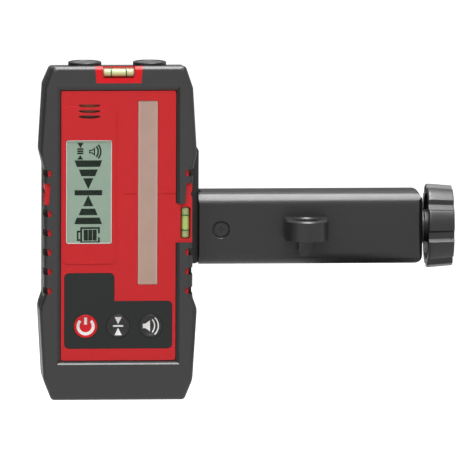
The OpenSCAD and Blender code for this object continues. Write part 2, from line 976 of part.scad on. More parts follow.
module photodiodes() {
    step = sensor_h / diode_count;
    color([0.08, 0.08, 0.1]) at_receiver()
        for (k = [0:diode_count - 1])
            translate([sensor_x, 0, sensor_z + (k - (diode_count - 1) / 2) * step])
                block([-diode_w / 2, diode_w / 2], [diode_y, diode_y + diode_t],
                    [-step * diode_share / 2, step * diode_share / 2]);
}

module sensor_board() {
    color([0.1, 0.3, 0.4]) at_receiver()
        block([sensor_x - sensor_w / 2, sensor_x + sensor_w / 2], [diode_y + diode_t, board_y],
            [sensor_z - sensor_h / 2, sensor_z + sensor_h / 2]);
}

// Keypad plate and the three keys
module keypad_plate() {
    color([0.18, 0.2, 0.2]) at_receiver() difference() {
        along_y([panel_y, panel_y + keypad_t]) keypad_2d(snug);
        key_places() rod_y([panel_y - over, panel_y + keypad_t + over], key_r + snug);
    }
}

// A key turned on its axis: dished cap, retaining flange and stem
module key() {
    cap_y = panel_y - key_proud;
    flange_y = inner_y + key_gap;
    rise = key_r - key_lip;
    dish_r = (rise * rise + key_dish * key_dish) / (2 * key_dish);
    translate([0, cap_y, 0]) rotate([-90, 0, 0]) difference() {
        union() {
            cylinder(h = flange_y - cap_y, r = key_r);
            translate([0, 0, flange_y - cap_y]) cylinder(h = key_flange_t, r = key_r + key_flange);
            cylinder(h = board_y - switch_t - key_travel - key_gap - cap_y, r = key_stem_r);
        }
        translate([0, 0, key_dish - dish_r]) sphere(dish_r, $fn = 128);
    }
}

module at_key(k) {
    at_receiver() translate([k * key_pitch, 0, key_z]) children();
}

module power_key() {
    color([0.8, 0.12, 0.15]) at_key(-1) key();
}

module band_key() {
    color([0.17, 0.17, 0.18]) at_key(0) key();
}

module volume_key() {
    color([0.17, 0.17, 0.18]) at_key(1) key();
}

module key_switches() {
    color([0.75, 0.75, 0.72]) at_receiver() key_places()
        block([-switch_w / 2, switch_w / 2], [board_y - switch_t, board_y], [-switch_w / 2, switch_w / 2]);
}

module buzzer() {
    color([0.12, 0.12, 0.12]) at_receiver()
        translate([sound_x, 0, sound_z]) rod_y([inner_y, inner_y + buzzer_t], buzzer_r);
}

// Magnets on the top edge: steel cups, each with its magnet
module magnet_cups() {
    color([0.14, 0.14, 0.15]) at_receiver() both_sides() translate([magnet_x, magnet_y, 0]) difference() {
        rod_z([case_above - magnet_sink, case_above + magnet_proud], magnet_r);
        rod_z([case_above, case_above + magnet_proud + over], magnet_r - magnet_rim);
    }
}

module magnet_discs() {
    color([0.72, 0.72, 0.74]) at_receiver() both_sides()
        translate([magnet_x, magnet_y, 0])
            rod_z([case_above, case_above + magnet_proud - magnet_recess], magnet_r - magnet_rim);
}

// Battery door on its hinge pin, the seal under it, and the cells
module at_door_hinge() {
    translate([0, hinge_y, hinge_z]) children();
}

// Side profile of the door: a flat leaf that ends in the hinge knuckle
module door_profile_2d() {
    rect([-door_t, 0], [hinge_z, door_z1]);
    translate([hinge_y, hinge_z]) circle(knuckle_r);
}

module battery_door() {
    color([0.15, 0.15, 0.16]) at_receiver() difference() {
        intersection() {
            along_x([-door_half, door_half]) door_profile_2d();
            along_y([-door_t - knuckle_r, 0])
                rounded_rect([-door_half, door_half], [door_z0 - over - door_r, door_z1], door_r);
        }
        at_door_hinge() rod_x([-door_half - over, door_half + over], pin_r + run);
        for (k = [1:door_grips])
            along_y([-grip_d, over])
                rounded_rect([-tab_half, tab_half],
                    [door_z1 - k * grip_pitch - grip_h, door_z1 - k * grip_pitch], grip_h * round_end_share);
    }
}

module door_pin() {
    color([0.7, 0.7, 0.72]) at_receiver() at_door_hinge()
        rod_x([-door_half - pin_reach, door_half + pin_reach], pin_r);
}

module door_seal() {
    color([0.1, 0.1, 0.1]) at_receiver() along_y([bay_back_y, -door_t]) difference() {
        rect([-bay_half - seal_w, bay_half + seal_w], [bay_z0 + knuckle_r + seal_w, bay_z1 + seal_w]);
        rect([-bay_half, bay_half], [bay_z0 + knuckle_r + 2 * seal_w, bay_z1]);
    }
}

module batteries() {
    color([0.25, 0.3, 0.35]) at_receiver() for (side = [-1, 1])
        translate([side * cell_x, cell_y, cell_z0]) {
            rod_z([0, cell_len], cell_r);
            rod_z([-button_len * (side + 1) / 2, cell_len + button_len * (1 - side) / 2], button_r);
        }
}

// Leaf contact: a flat plate with a folded tongue that meets the cell
module leaf(rise) {
    along_y([-contact_w / 2, contact_w / 2])
        polygon([
            [-contact_w / 2, 0], [contact_w / 2, 0], [contact_w / 2, contact_t],
            [contact_t, rise], [-contact_t, rise], [-contact_w / 2, contact_t]
        ]);
}

module battery_contacts() {
    color([0.75, 0.7, 0.5]) at_receiver() for (side = [-1, 1]) {
        low_gap = cell_z0 - bay_z0 - button_len * (side + 1) / 2;
        high_gap = bay_z1 - cell_z0 - cell_len - button_len * (1 - side) / 2;
        translate([side * cell_x, cell_y, bay_z0]) leaf(low_gap);
        translate([side * cell_x, cell_y, bay_z1]) mirror([0, 0, 1]) leaf(high_gap);
    }
}

// Brass insert in the back, which takes the captive clamp screw
module clamp_insert() {
    color([0.75, 0.6, 0.3]) at_receiver() translate([0, 0, captive_z]) difference() {
        rod_y([-insert_len, 0], insert_r);
        rod_y([-insert_len - over, over], captive_r + run);
    }
}

// Clamp arm: one moulding with the receiver plate, the fixed jaw and the round vial's cup

module arm_section_2d() {
    rounded_rect([-arm_d, -arm_wall], [arm_low, arm_top], arm_edge_r);
    rounded_rect([-arm_d + arm_edge_r, 0], [arm_low, arm_top], arm_rear_r);
}

module arm_form() {
    intersection() {
        along_x([arm_x0, arm_x1]) arm_section_2d();
        along_y([-arm_d, 0]) {
            rounded_rect([arm_x0, arm_x1], [arm_low, arm_top], arm_end_r);
            rounded_rect([arm_x0, arm_x0 + 2 * arm_end_r], [arm_low, arm_top], arm_root_r);
        }
        along_z([arm_low, arm_top]) {
            rounded_rect([arm_x0, arm_x1], [-arm_d, arm_corner_r], arm_corner_r);
            rounded_rect([arm_x0, arm_x0 + 2 * arm_corner_r], [-arm_d, arm_corner_r], arm_root_r);
        }
    }
}

module receiver_plate() {
    along_y([seat_y, plate_y]) {
        rounded_rect([plate_x0, plate_x1], [arm_low, plate_rise], plate_r);
        rect([plate_x1 - plate_r, arm_x0 + arm_corner_r], [arm_low + arm_end_r, arm_top - arm_end_r]);
        difference() {
            rect([plate_x1 - plate_r, plate_x1 + plate_fillet + arm_end_r],
                [arm_top - arm_end_r, arm_top + plate_fillet]);
            translate([plate_x1 + plate_fillet, arm_top + plate_fillet]) circle(plate_fillet);
            rect([plate_x1 + plate_fillet, arm_x1], [arm_top, arm_top + plate_fillet + over]);
        }
    }
    at_receiver() both_sides() translate([peg_x, 0, captive_z]) rod_y([-peg_len, over], peg_r);
}

function fixed_jaw_outline() = rounded_path(
    [
        [-pad_t, plate_y - plate_t / 2],
        [-pad_t, jaw_reach],
        [-pad_t - jaw_t, jaw_reach],
        [-pad_t - jaw_t, jaw_reach * jaw_gusset_y_share],
        [-pad_t - jaw_t - jaw_gusset, plate_y - plate_t / 2]
    ],
    [jaw_edge, jaw_r, jaw_r, jaw_r, jaw_edge]);

module round_vial_cup() {
    translate([cup_x, 0, 0]) {
        translate([0, cup_y, 0]) rod_z([cup_top - cup_h, cup_top], cup_r);
        block([-cup_r, cup_r], [cup_y, arm_wall - arm_d], [cup_top - cup_h, cup_top]);
        intersection() {
            along_y([cup_y - cup_r, arm_wall - arm_d]) {
                translate([0, cup_top - cup_h - rib_h + rib_w / 2]) circle(rib_w / 2);
                rect([-rib_w / 2, rib_w / 2], [cup_top - cup_h - rib_h + rib_w / 2, cup_top - cup_floor]);
            }
            along_x([-rib_w, rib_w])
                polygon([
                    [-arm_d - rib_d, cup_top - cup_floor], [arm_wall - arm_d, cup_top - cup_floor],
                    [arm_wall - arm_d, cup_top - cup_h - rib_h], [-arm_d - rib_toe, cup_top - cup_h - rib_h],
                    [-arm_d - rib_d, cup_top - cup_h]
                ]);
        }
    }
}

module guide_screw_places() {
    for (x = [bearing_x0 + guide_screw_in, guide_x1 - guide_screw_in], z = [-1, 1])
        translate([x, 0, axis_z + z * (guide_h / 2 - guide_screw_in)]) children();
}

module clamp_arm() {
    color([0.2, 0.2, 0.21]) difference() {
        union() {
            arm_form();
            receiver_plate();
            along_z([axis_z - jaw_half, axis_z + jaw_half]) polygon(fixed_jaw_outline());
            round_vial_cup();
        }
        block([bearing_x0, channel_x1], [channel_y0, over], [axis_z - channel_h / 2, axis_z + channel_h / 2]);
        along_y([-guide_t, over])
            rounded_rect([bearing_x0, guide_x1], [axis_z - guide_h / 2, axis_z + guide_h / 2], guide_r);
        at_axis() rod_x([channel_x1 - over, arm_x1 + over], spindle_r + run);
        translate([cup_x, cup_y, 0]) rod_z([cup_top - cup_h + cup_floor, cup_top + over], cup_bore_r);
        translate([bearing_screw_x, 0, axis_z]) {
            rod_y([-arm_d - over, channel_y0 + over], bearing_screw_r + snug);
            rod_y([-arm_d - over, bearing_head_sink + bearing_head_t - arm_d], bearing_recess_r);
        }
        guide_screw_places() rod_y([-guide_screw_len, 0], guide_screw_r);
        at_receiver() translate([0, 0, captive_z]) rod_y([-over, plate_t + over], captive_r + slide_gap);
    }
}

// Slotted plate that keeps the jaw's carriage in the arm
module guide_plate() {
    color([0.28, 0.28, 0.3]) difference() {
        along_y([-guide_t, 0])
            rounded_rect([bearing_x0 + snug, guide_x1 - snug],
                [axis_z - guide_h / 2 + snug, axis_z + guide_h / 2 - snug], guide_r);
        along_y([-guide_t - over, over])
            rounded_rect([bearing_x1, channel_x1 - neck_slot_end],
                [axis_z - neck_h / 2, axis_z + neck_h / 2], guide_r);
        guide_screw_places() rod_y([-guide_t - over, over], guide_screw_r + snug);
        guide_screw_places() rod_y([-guide_head_t - snug, over], guide_head_r + snug);
    }
}

module guide_screws() {
    color([0.6, 0.6, 0.62]) guide_screw_places() difference() {
        union() {
            rod_y([-guide_head_t - snug, -snug], guide_head_r);
            rod_y([-guide_screw_len, -snug], guide_screw_r);
        }
        cross_recess(-snug, guide_screw_r, guide_head_t);
    }
}

module pad_block(x) {
    along_x(x)
        rounded_rect([pad_inset, jaw_reach - pad_inset],
            [axis_z - jaw_half + pad_inset, axis_z + jaw_half - pad_inset], jaw_edge);
}

module fixed_jaw_pad() {
    color([0.1, 0.1, 0.1]) pad_block([-pad_t, 0]);
}

// Sliding jaw: head behind the arm, neck through the slot, carriage on the spindle
function sliding_jaw_outline() = rounded_path(
    [
        [jaw_x, jaw_clear],
        [jaw_x, jaw_reach],
        [jaw_x + jaw_head_t - jaw_slope, jaw_reach],
        [jaw_x + jaw_head_t, jaw_reach * jaw_gusset_y_share],
        [jaw_x + jaw_head_t + jaw_slope, jaw_clear]
    ],
    [jaw_edge, jaw_tip_r, jaw_tip_r, jaw_r, jaw_edge]);

// Square nut, which its pocket in the carriage keeps from turning
module nut_block(x) {
    block(x, [-nut_d / 2, nut_d / 2], [-nut_h / 2, nut_h / 2]);
}

module sliding_jaw() {
    carriage_x = jaw_x - carriage_back;
    carriage_half = channel_h / 2 - slide_gap;
    color([0.2, 0.2, 0.21]) difference() {
        union() {
            along_z([axis_z - jaw_half, axis_z + jaw_half]) polygon(sliding_jaw_outline());
            block([carriage_x, carriage_x + carriage_len],
                [channel_y0 + slide_gap, -guide_t - slide_gap],
                [axis_z - carriage_half, axis_z + carriage_half]);
            block([jaw_x + jaw_edge, jaw_x + neck_len], [-guide_t - over, jaw_clear + jaw_edge + over],
                [axis_z - neck_h / 2 + slide_gap, axis_z + neck_h / 2 - slide_gap]);
        }
        at_axis() rod_x([carriage_x - over, carriage_x + carriage_len + over], spindle_r + slide_gap);
        at_axis() nut_block([carriage_x - over, carriage_x + nut_len]);
    }
}

module sliding_jaw_pad() {
    color([0.1, 0.1, 0.1]) pad_block([jaw_open, jaw_x]);
}

module jaw_nut() {
    color([0.75, 0.6, 0.3]) at_axis() difference() {
        nut_block([jaw_x - carriage_back, jaw_x - carriage_back + nut_len]);
        rod_x([jaw_x - carriage_back - over, jaw_x - carriage_back + nut_len + over], spindle_r + run);
    }
}

// Spindle and what turns with it
module spindle() {
    clip_x = channel_x1 - slide_gap - clip_t;
    color([0.62, 0.62, 0.64]) at_axis() difference() {
        union() {
            rod_x([bearing_x1 + slide_gap, knob_x1 - cap_t - spindle_end], spindle_r);
            rod_x([bearing_x1 - journal_len, bearing_x1 + slide_gap + over], journal_r);
        }
        difference() {
            rod_x([clip_x, clip_x + clip_t], spindle_r + over);
            rod_x([clip_x - over, clip_x + clip_t + over], spindle_r - clip_depth);
        }
    }
}

module spindle_clip() {
    clip_x = channel_x1 - slide_gap - clip_t;
    color([0.5, 0.5, 0.52]) at_axis() difference() {
        rod_x([clip_x, clip_x + clip_t], clip_r);
        rod_x([clip_x - over, clip_x + clip_t + over], spindle_r - clip_depth);
    }
}

module thrust_washer() {
    color([0.7, 0.7, 0.72]) at_axis() difference() {
        rod_x([washer_x, washer_x + washer_t], washer_r);
        rod_x([washer_x - over, washer_x + washer_t + over], spindle_r + slide_gap);
    }
}

module end_bearing() {
    color([0.85, 0.85, 0.8]) difference() {
        block([bearing_x0, bearing_x1], [channel_y0, -guide_t],
            [axis_z - channel_h / 2 + snug, axis_z + channel_h / 2 - snug]);
        at_axis() rod_x([bearing_x1 - journal_len - snug, bearing_x1 + over], journal_r + run);
        translate([bearing_screw_x, 0, axis_z])
            rod_y([channel_y0 - over, bearing_screw_len + channel_y0], bearing_screw_r);
    }
}

module bearing_screw() {
    head_y = bearing_head_sink - arm_d;
    color([0.3, 0.3, 0.32]) translate([bearing_screw_x, 0, axis_z]) difference() {
        union() {
            rod_y([head_y, head_y + bearing_head_t], bearing_head_r);
            rod_y([head_y, channel_y0 + bearing_screw_len], bearing_screw_r);
        }
        mirror([0, 1, 0]) cross_recess(-head_y, bearing_screw_r, bearing_head_t);
    }
}

// Lobed knob: a turned blank with flat-floored flutes cut round its rim
module knob_blank_2d() {
    difference() {
        intersection() {
            union() {
                rounded_rect([-knob_r, knob_r], [knob_x0, knob_x1], knob_round);
                rounded_rect([-knob_r, knob_r], [knob_x0, knob_x1 - knob_round], knob_inner_round);
            }
            polygon([
                [0, knob_x0], [knob_r, knob_x0], [knob_r, knob_x0 + knob_land],
                [knob_r - knob_taper, knob_x1], [0, knob_x1]
            ]);
        }
        rect([knob_hub_r, knob_r - knob_rim], [knob_x0 - over, knob_x0 + knob_recess_d]);
    }
    rect([0, knob_hub_r], [hub_x, knob_x0 + knob_web]);
}

// Flute along the top of the rim, tilted to follow its taper
module knob_flute() {
    flare = (flute_w - flute_floor_w) / 2 / flute_depth;
    translate([knob_x0 + knob_land, 0, knob_r - flute_depth])
        rotate([0, atan(knob_taper / (knob_w - knob_land)), 0])
            along_x([-knob_land - 2 * over, knob_w + over])
                polygon([
                    [-flute_floor_w / 2, 0], [flute_floor_w / 2, 0],
                    [flute_w / 2 + flare * over, flute_depth + over],
                    [-flute_w / 2 - flare * over, flute_depth + over]
                ]);
}

module clamp_knob() {
    color([0.24, 0.24, 0.25]) at_axis() difference() {
        rotate([0, 90, 0]) rotate_extrude() knob_blank_2d();
        for (k = [0:knob_lobes - 1])
            rotate([90 - lobe_turn + 360 * (k + flute_turn_share) / knob_lobes, 0, 0]) knob_flute();
        rod_x([hub_x - over, knob_x1 - cap_t], spindle_r);
        rod_x([knob_x1 - cap_t, knob_x1 + over], cap_r + snug);
    }
}

module knob_cap() {
    color([0.2, 0.2, 0.21]) at_axis() rod_x([knob_x1 - cap_t, knob_x1 - snug], cap_r);
}

// Round vial in the cup: clear domed cup and its fluid
module puck(inset) {
    translate([cup_x, cup_y, 0]) intersection() {
        rod_z([puck_z0 + inset, puck_z1 - inset], cup_bore_r - snug - inset);
        translate([0, 0, puck_z1 - inset - puck_dome_r]) sphere(puck_dome_r, $fn = 128);
    }
}

module round_vial() {
    color([0.85, 0.9, 0.85]) difference() {
        puck(0);
        puck(puck_wall);
    }
}

module round_vial_fluid() {
    color([0.7, 0.85, 0.35]) puck(puck_wall);
}

// Captive screw that holds the plate to the receiver's back
module at_captive() {
    translate([receiver_x, plate_y, captive_z]) children();
}

module captive_screw() {
    color([0.65, 0.65, 0.67]) at_captive()
        rod_y([-plate_t - captive_grip, captive_washer_t + captive_head_t / 2], captive_r);
}

module captive_knob() {
    color([0.2, 0.2, 0.21]) at_captive() difference() {
        union() {
            rod_y([captive_washer_t, captive_washer_t + captive_head_t], captive_neck_r);
            rod_y([captive_washer_t + captive_head_t / 4, captive_washer_t + captive_head_t], captive_head_r);
        }
        rod_y([-over, captive_washer_t + captive_head_t / 2], captive_r);
        for (k = [0:captive_flutes - 1])
            rotate([0, 360 * k / captive_flutes, 0])
                translate([captive_head_r, 0, 0])
                    rod_y([captive_washer_t, captive_washer_t + captive_head_t + over], captive_flute_r);
    }
}

module captive_washer() {
    color([0.7, 0.7, 0.72]) at_captive() difference() {
        rod_y([0, captive_washer_t], captive_washer_r);
        rod_y([-over, captive_washer_t + over], captive_r + slide_gap);
    }
}

front_case();
front_bumper();
rear_case();
case_gasket();
case_screws();
lcd_lens();
lcd_panel();
lcd_frame();
main_board();
sensor_window();
sensor_board();
photodiodes();
keypad_plate();
power_key();
band_key();
volume_key();
key_switches();
buzzer();
top_vial();
top_vial_fluid();
side_vial();
side_vial_fluid();
magnet_cups();
magnet_discs();
battery_door();
door_pin();
door_seal();
batteries();
battery_contacts();
clamp_insert();
clamp_arm();
guide_plate();
guide_screws();
fixed_jaw_pad();
sliding_jaw();
sliding_jaw_pad();
jaw_nut();
spindle();
thrust_washer();
spindle_clip();
end_bearing();
bearing_screw();
clamp_knob();
knob_cap();
round_vial();
round_vial_fluid();
captive_screw();
captive_knob();
captive_washer();
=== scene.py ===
import json
import math
import bpy
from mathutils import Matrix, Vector

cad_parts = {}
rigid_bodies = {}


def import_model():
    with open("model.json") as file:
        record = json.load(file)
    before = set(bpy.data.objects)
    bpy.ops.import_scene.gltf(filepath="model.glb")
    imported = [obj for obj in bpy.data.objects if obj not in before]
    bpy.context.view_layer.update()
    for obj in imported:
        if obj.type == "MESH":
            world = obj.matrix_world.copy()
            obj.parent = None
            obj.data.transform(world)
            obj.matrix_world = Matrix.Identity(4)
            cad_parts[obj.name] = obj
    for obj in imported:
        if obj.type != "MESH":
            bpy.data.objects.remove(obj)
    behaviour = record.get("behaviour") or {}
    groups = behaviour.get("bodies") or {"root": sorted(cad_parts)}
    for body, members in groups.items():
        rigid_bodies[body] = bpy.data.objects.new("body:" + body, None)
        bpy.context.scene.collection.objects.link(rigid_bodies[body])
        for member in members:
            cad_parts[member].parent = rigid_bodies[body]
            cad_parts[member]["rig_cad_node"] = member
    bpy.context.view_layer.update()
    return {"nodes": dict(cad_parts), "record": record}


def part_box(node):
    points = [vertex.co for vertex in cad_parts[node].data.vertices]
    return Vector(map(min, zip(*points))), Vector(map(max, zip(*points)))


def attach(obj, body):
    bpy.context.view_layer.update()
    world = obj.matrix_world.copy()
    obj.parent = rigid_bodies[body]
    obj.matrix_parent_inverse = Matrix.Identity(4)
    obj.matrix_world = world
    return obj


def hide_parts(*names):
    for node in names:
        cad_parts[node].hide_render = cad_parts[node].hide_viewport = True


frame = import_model()
nodes, record = frame["nodes"], frame["record"]
bodyOf = {node: body for body, members in record["behaviour"]["bodies"].items() for node in members}
slotOf = {part["node"]: part["material_slot"] for part in record["subparts"]}
mm = 0.001
print("frame loaded:", len(nodes), "nodes")


def middleOf(node):
    # middle of a node's box, in mm
    low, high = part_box(node)
    return (low + high) / 2 / mm


class Wire:
    def __init__(self, tree, socket):
        self.tree, self.socket = tree, socket

    def feed(self, target, value):
        if isinstance(value, Wire):
            self.tree.links.new(value.socket, target)
        else:
            target.default_value = value

    def make(self, kind, settings=None, sockets=None, out=0):
        node = self.tree.nodes.new(kind)
        for name, value in (settings or {}).items():
            setattr(node, name, value)
        for name, value in (sockets or {}).items():
            self.feed(node.inputs[name], value)
        return Wire(self.tree, node.outputs[out])

    def math(self, operation, a, b):
        return self.make("ShaderNodeMath", {"operation": operation}, {0: a, 1: b})

    def paint(self, values):
        shader = self.tree.nodes["Principled BSDF"]
        for name, value in values.items():
            self.feed(shader.inputs[name], value)

    def painted(self, name):
        # what already feeds one of the shader's sockets
        shader = self.tree.nodes["Principled BSDF"]
        return Wire(self.tree, shader.inputs[name].links[0].from_socket)

    def __add__(self, other): return self.math("ADD", self, other)
    def __radd__(self, other): return self.math("ADD", other, self)
    def __sub__(self, other): return self.math("SUBTRACT", self, other)
    def __rsub__(self, other): return self.math("SUBTRACT", other, self)
    def __mul__(self, other): return self.math("MULTIPLY", self, other)
    def __rmul__(self, other): return self.math("MULTIPLY", other, self)
    def __gt__(self, other): return self.math("GREATER_THAN", self, other)
    def __lt__(self, other): return self.math("LESS_THAN", self, other)


def tone(red, green, blue):
    # a screen colour, 0 to 255, as the shader's linear one
    def linear(value):
        value /= 255
        return value / 12.92 if value <= 0.04045 else ((value + 0.055) / 1.055) ** 2.4
    return (linear(red), linear(green), linear(blue), 1)


def shaded(color, share):
    return tuple(min(1, c * share) for c in color[:3]) + (1,)


def begin(name):
    material = bpy.data.materials.new(name)
    material.use_nodes = True
    tree = material.node_tree
    return material, Wire(tree, tree.nodes.new("ShaderNodeTexCoord").outputs["Object"])


def placeIn(material):
    # a finished material opened again, to paint more on it
    tree = material.node_tree
    return Wire(tree, tree.nodes["Texture Coordinate"].outputs["Object"])


def noise(place, scale, detail=2.0):
    return place.make("ShaderNodeTexNoise", {}, {"Vector": place, "Scale": scale, "Detail": detail})


def blended(place, share, first, second):
    return place.make("ShaderNodeMix", {"data_type": "RGBA"}, {0: share, 6: first, 7: second}, 2)


def bumped(place, height, strength, depth):
    sockets = {"Strength": strength, "Distance": depth, "Height": height}
    return place.make("ShaderNodeBump", {}, sockets)


def wander(middle, field, spread):
    # a value that strays to both sides of its middle with a noise field
    return middle + (field - 0.5) * spread


def along(place, axis):
    return place.make("ShaderNodeSeparateXYZ", {}, {"Vector": place}, axis)


def apartFrom(place, axis, middle):
    # distance along one axis from a middle, either way
    offset = along(place, axis) - middle
    return offset.make("ShaderNodeMath", {"operation": "ABSOLUTE"}, {0: offset})


def ramp(value, low, high):
    # 0 up to low, 1 from high on
    sockets = {"Value": value, "From Min": low, "From Max": high}
    return value.make("ShaderNodeMapRange", {}, sockets)


# moulded plastic or rubber: broad mottling, fine spark texture in gloss and bump
mouldSet = {"broad": 55.0, "detail": 3.0, "fineGloss": 0.16, "broadGloss": 0.1, "bump": 0.35}


def moulded(name, color, rough, grain, depth, mottle=0.12, specular=0.5):
    material, place = begin(name)
    broad, fine = noise(place, mouldSet["broad"], mouldSet["detail"]), noise(place, grain)
    sparkle = wander(rough, fine, mouldSet["fineGloss"])
    place.paint({
        "Base Color": blended(place, broad, shaded(color, 1 - mottle), shaded(color, 1 + mottle)),
        "Roughness": wander(sparkle, broad, mouldSet["broadGloss"]),
        "Normal": bumped(place, fine, mouldSet["bump"], depth),
        "Specular IOR Level": specular,
    })
    return material


# brushed or turned metal: noise drawn out along the finish
metalSet = {"streak": 900.0, "detail": 4.0, "broad": 70.0, "dark": 0.78,
            "streakGloss": 0.2, "broadGloss": 0.12, "bump": 0.2, "depth": 2e-5}


def metal(name, color, rough, stretch=(1, 1, 1)):
    material, place = begin(name)
    drawn = place.make("ShaderNodeMapping", {}, {"Vector": place, "Scale": stretch})
    streak = noise(drawn, metalSet["streak"], metalSet["detail"])
    brushed = wander(rough, streak, metalSet["streakGloss"])
    place.paint({
        "Base Color": blended(place, streak, shaded(color, metalSet["dark"]), color),
        "Roughness": wander(brushed, noise(place, metalSet["broad"]), metalSet["broadGloss"]),
        "Normal": bumped(place, streak, metalSet["bump"], metalSet["depth"]),
        "Metallic": 1.0,
    })
    return material


# detection window: a tinted filter strip, paler along its long edges
sensorSet = {"half": 5.0, "edge": (0.74, 0.94), "edgeShare": 0.6, "edgeTone": tone(206, 180, 170),
             "dark": tone(178, 148, 134), "pale": tone(194, 164, 150), "cloud": 90.0}


def sensorFinish():
    material, place = begin("detectionWindow")
    across = apartFrom(place, 0, middleOf("sensor_window").x * mm)
    edge = ramp(across, *(share * sensorSet["half"] * mm for share in sensorSet["edge"]))
    cloud = noise(place, sensorSet["cloud"], 4.0)
    body = blended(place, cloud, sensorSet["dark"], sensorSet["pale"])
    place.paint({
        "Base Color": blended(place, edge * sensorSet["edgeShare"], body, sensorSet["edgeTone"]),
        "Roughness": wander(0.36, cloud, 0.1),
        "Specular IOR Level": 0.25,
    })
    return material


# reflective liquid crystal: grey-green with faint column lines
lcdSet = {"columns": 700.0, "columnShare": 0.15, "cloud": 120.0, "cloudShare": 0.7,
          "dark": tone(148, 170, 152), "pale": tone(164, 184, 167)}


def lcdFinish():
    material, place = begin("lcdGlass")
    columns = place.make("ShaderNodeTexWave", {"wave_type": "BANDS", "bands_direction": "X"},
                         {"Vector": place, "Scale": lcdSet["columns"], "Distortion": 0.0})
    cloud = noise(place, lcdSet["cloud"], 3.0)
    share = cloud * lcdSet["cloudShare"] + columns * lcdSet["columnShare"]
    place.paint({
        "Base Color": blended(place, share, lcdSet["dark"], lcdSet["pale"]),
        "Roughness": wander(0.5, cloud, 0.1),
        "Specular IOR Level": 0.1,
    })
    return material


# display opening, in mm, and how much its window hides
windowSet = {
    "topUp": 1.3, "lowUp": 0.9, "reach": 1.7,  # its top and bottom edges move up, with what is near
    "rim": 0.6, "fade": 0.2, "frost": 0.8,  # pale rim where the window meets the island: a painted highlight standing in for its bevelled edge
    "clear": 0.004, "haze": 0.003, "hazeScale": 160.0,
    "behind": 0.2,  # nothing nearer than this to the glass moves
}


def windowFinish():
    material, place = begin("displayWindow")
    low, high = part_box("lcd_lens")
    low = low + Vector((0, 0, windowSet["lowUp"] * mm))
    high = high + Vector((0, 0, windowSet["topUp"] * mm))
    centre, half = (low + high) / 2, (high - low) / 2
    wide = apartFrom(place, 0, centre.x) - half.x
    tall = apartFrom(place, 2, centre.z) - half.z
    inner = -windowSet["rim"] * mm
    # the pale opaque band round the window's edge is a painted highlight
    rim = ramp(wide.math("MAXIMUM", wide, tall), inner, inner + windowSet["fade"] * mm)
    haze = noise(place, windowSet["hazeScale"])
    place.paint({
        "Base Color": blended(place, haze, tone(226, 226, 218), tone(236, 235, 228)),
        "Alpha": windowSet["clear"] + rim * windowSet["frost"] + haze * windowSet["haze"],
        "Roughness": 0.08,
    })
    return material


# tube vials: clear tube, milky at its solid ends, and fluid, brightest between the level lines,
# with a painted glow
vialSet = {
    "apart": 3.8,  # level lines from the middle, in mm
    "clear": 0.16, "milky": 0.7, "fade": 0.3, "haze": 0.06, "hazeScale": 400.0, "dim": 0.9,
    # glow: strength of a painted glow that lifts the fluid where the lamps leave it dark
    "line": (0.95, 1.05), "dull": 0.75, "glow": 0.18, "cloud": 700.0,
}


def tubeFinish(name, node, axis, color):
    material, place = begin(name)
    low, high = (corner[axis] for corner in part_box(node + "_fluid"))
    half, fade = (high - low) / 2, vialSet["fade"] * mm
    ends = ramp(apartFrom(place, axis, (low + high) / 2), half - fade, half + fade)
    haze = noise(place, vialSet["hazeScale"])
    place.paint({
        "Base Color": blended(place, haze, shaded(color, vialSet["dim"]), color),
        "Alpha": wander(vialSet["clear"] + ends * vialSet["milky"], haze, vialSet["haze"]),
        "Roughness": 0.2,
        "Specular IOR Level": 0.3,
    })
    return material


def fluidFinish(name, node, axis, bright, dull):
    material, place = begin(name)
    distance = apartFrom(place, axis, middleOf(node)[axis] * mm)
    away = ramp(distance, *(share * vialSet["apart"] * mm for share in vialSet["line"]))
    cloud = noise(place, vialSet["cloud"], 3.0)
    outside = blended(place, cloud, shaded(dull, vialSet["dull"]), dull)
    place.paint({
        "Base Color": blended(place, away, bright, outside),
        "Roughness": wander(0.25, cloud, 0.1),
        "Emission Color": bright,  # painted glow that lifts the fluid where the lamps leave it dark
        "Emission Strength": vialSet["glow"],
    })
    return material


# seam round the red panel, in mm, with shade painted into the colour
seamShadeSet = {
    "half": 29.5, "above": 53.0, "below": -85.4,  # its outer edge
    "wide": 0.58, "over": 0.05, "corner": 0.95,  # how far the painted shade goes in, out and across corners
    "face": -43.8, "deep": 0.12,  # the panel's face, and the depth from which the groove gets painted shade
    "proud": 0.9,  # what stands this far before the panel is the brighter red
    "lip": 0.75, "matt": 0.42,  # upper half of the rubber bevel below the panel: matt, with painted shade
}


def shellFinish():
    # red shell, with painted shade in the seam between panel and rubber
    material = moulded("redShell", tone(204, 40, 44), 0.4, 1400.0, 2.0e-5, 0.04, 0.2)
    place = placeIn(material)
    above, below, face = seamShadeSet["above"], seamShadeSet["below"], seamShadeSet["face"]
    across = apartFrom(place, 0, middleOf("top_vial").x * mm) - seamShadeSet["half"] * mm
    up = apartFrom(place, 2, (above + below) / 2 * mm) - (above - below) / 2 * mm
    outer = across.math("MAXIMUM", across, up)
    depth = along(place, 1)
    groove = (outer > -seamShadeSet["wide"] * mm) * (depth > (face + seamShadeSet["deep"]) * mm)
    corner = (across + up) > -seamShadeSet["corner"] * mm
    seamShade = groove.math("MAXIMUM", groove, corner) * (outer < seamShadeSet["over"] * mm)
    proud = depth < (face - seamShadeSet["proud"]) * mm
    red = blended(place, proud, place.painted("Base Color"), tone(226, 26, 34))
    # the dark seam colour is painted shade in the gap and the panel's corners
    place.paint({"Base Color": blended(place, seamShade, red, tone(22, 14, 14))})
    return material


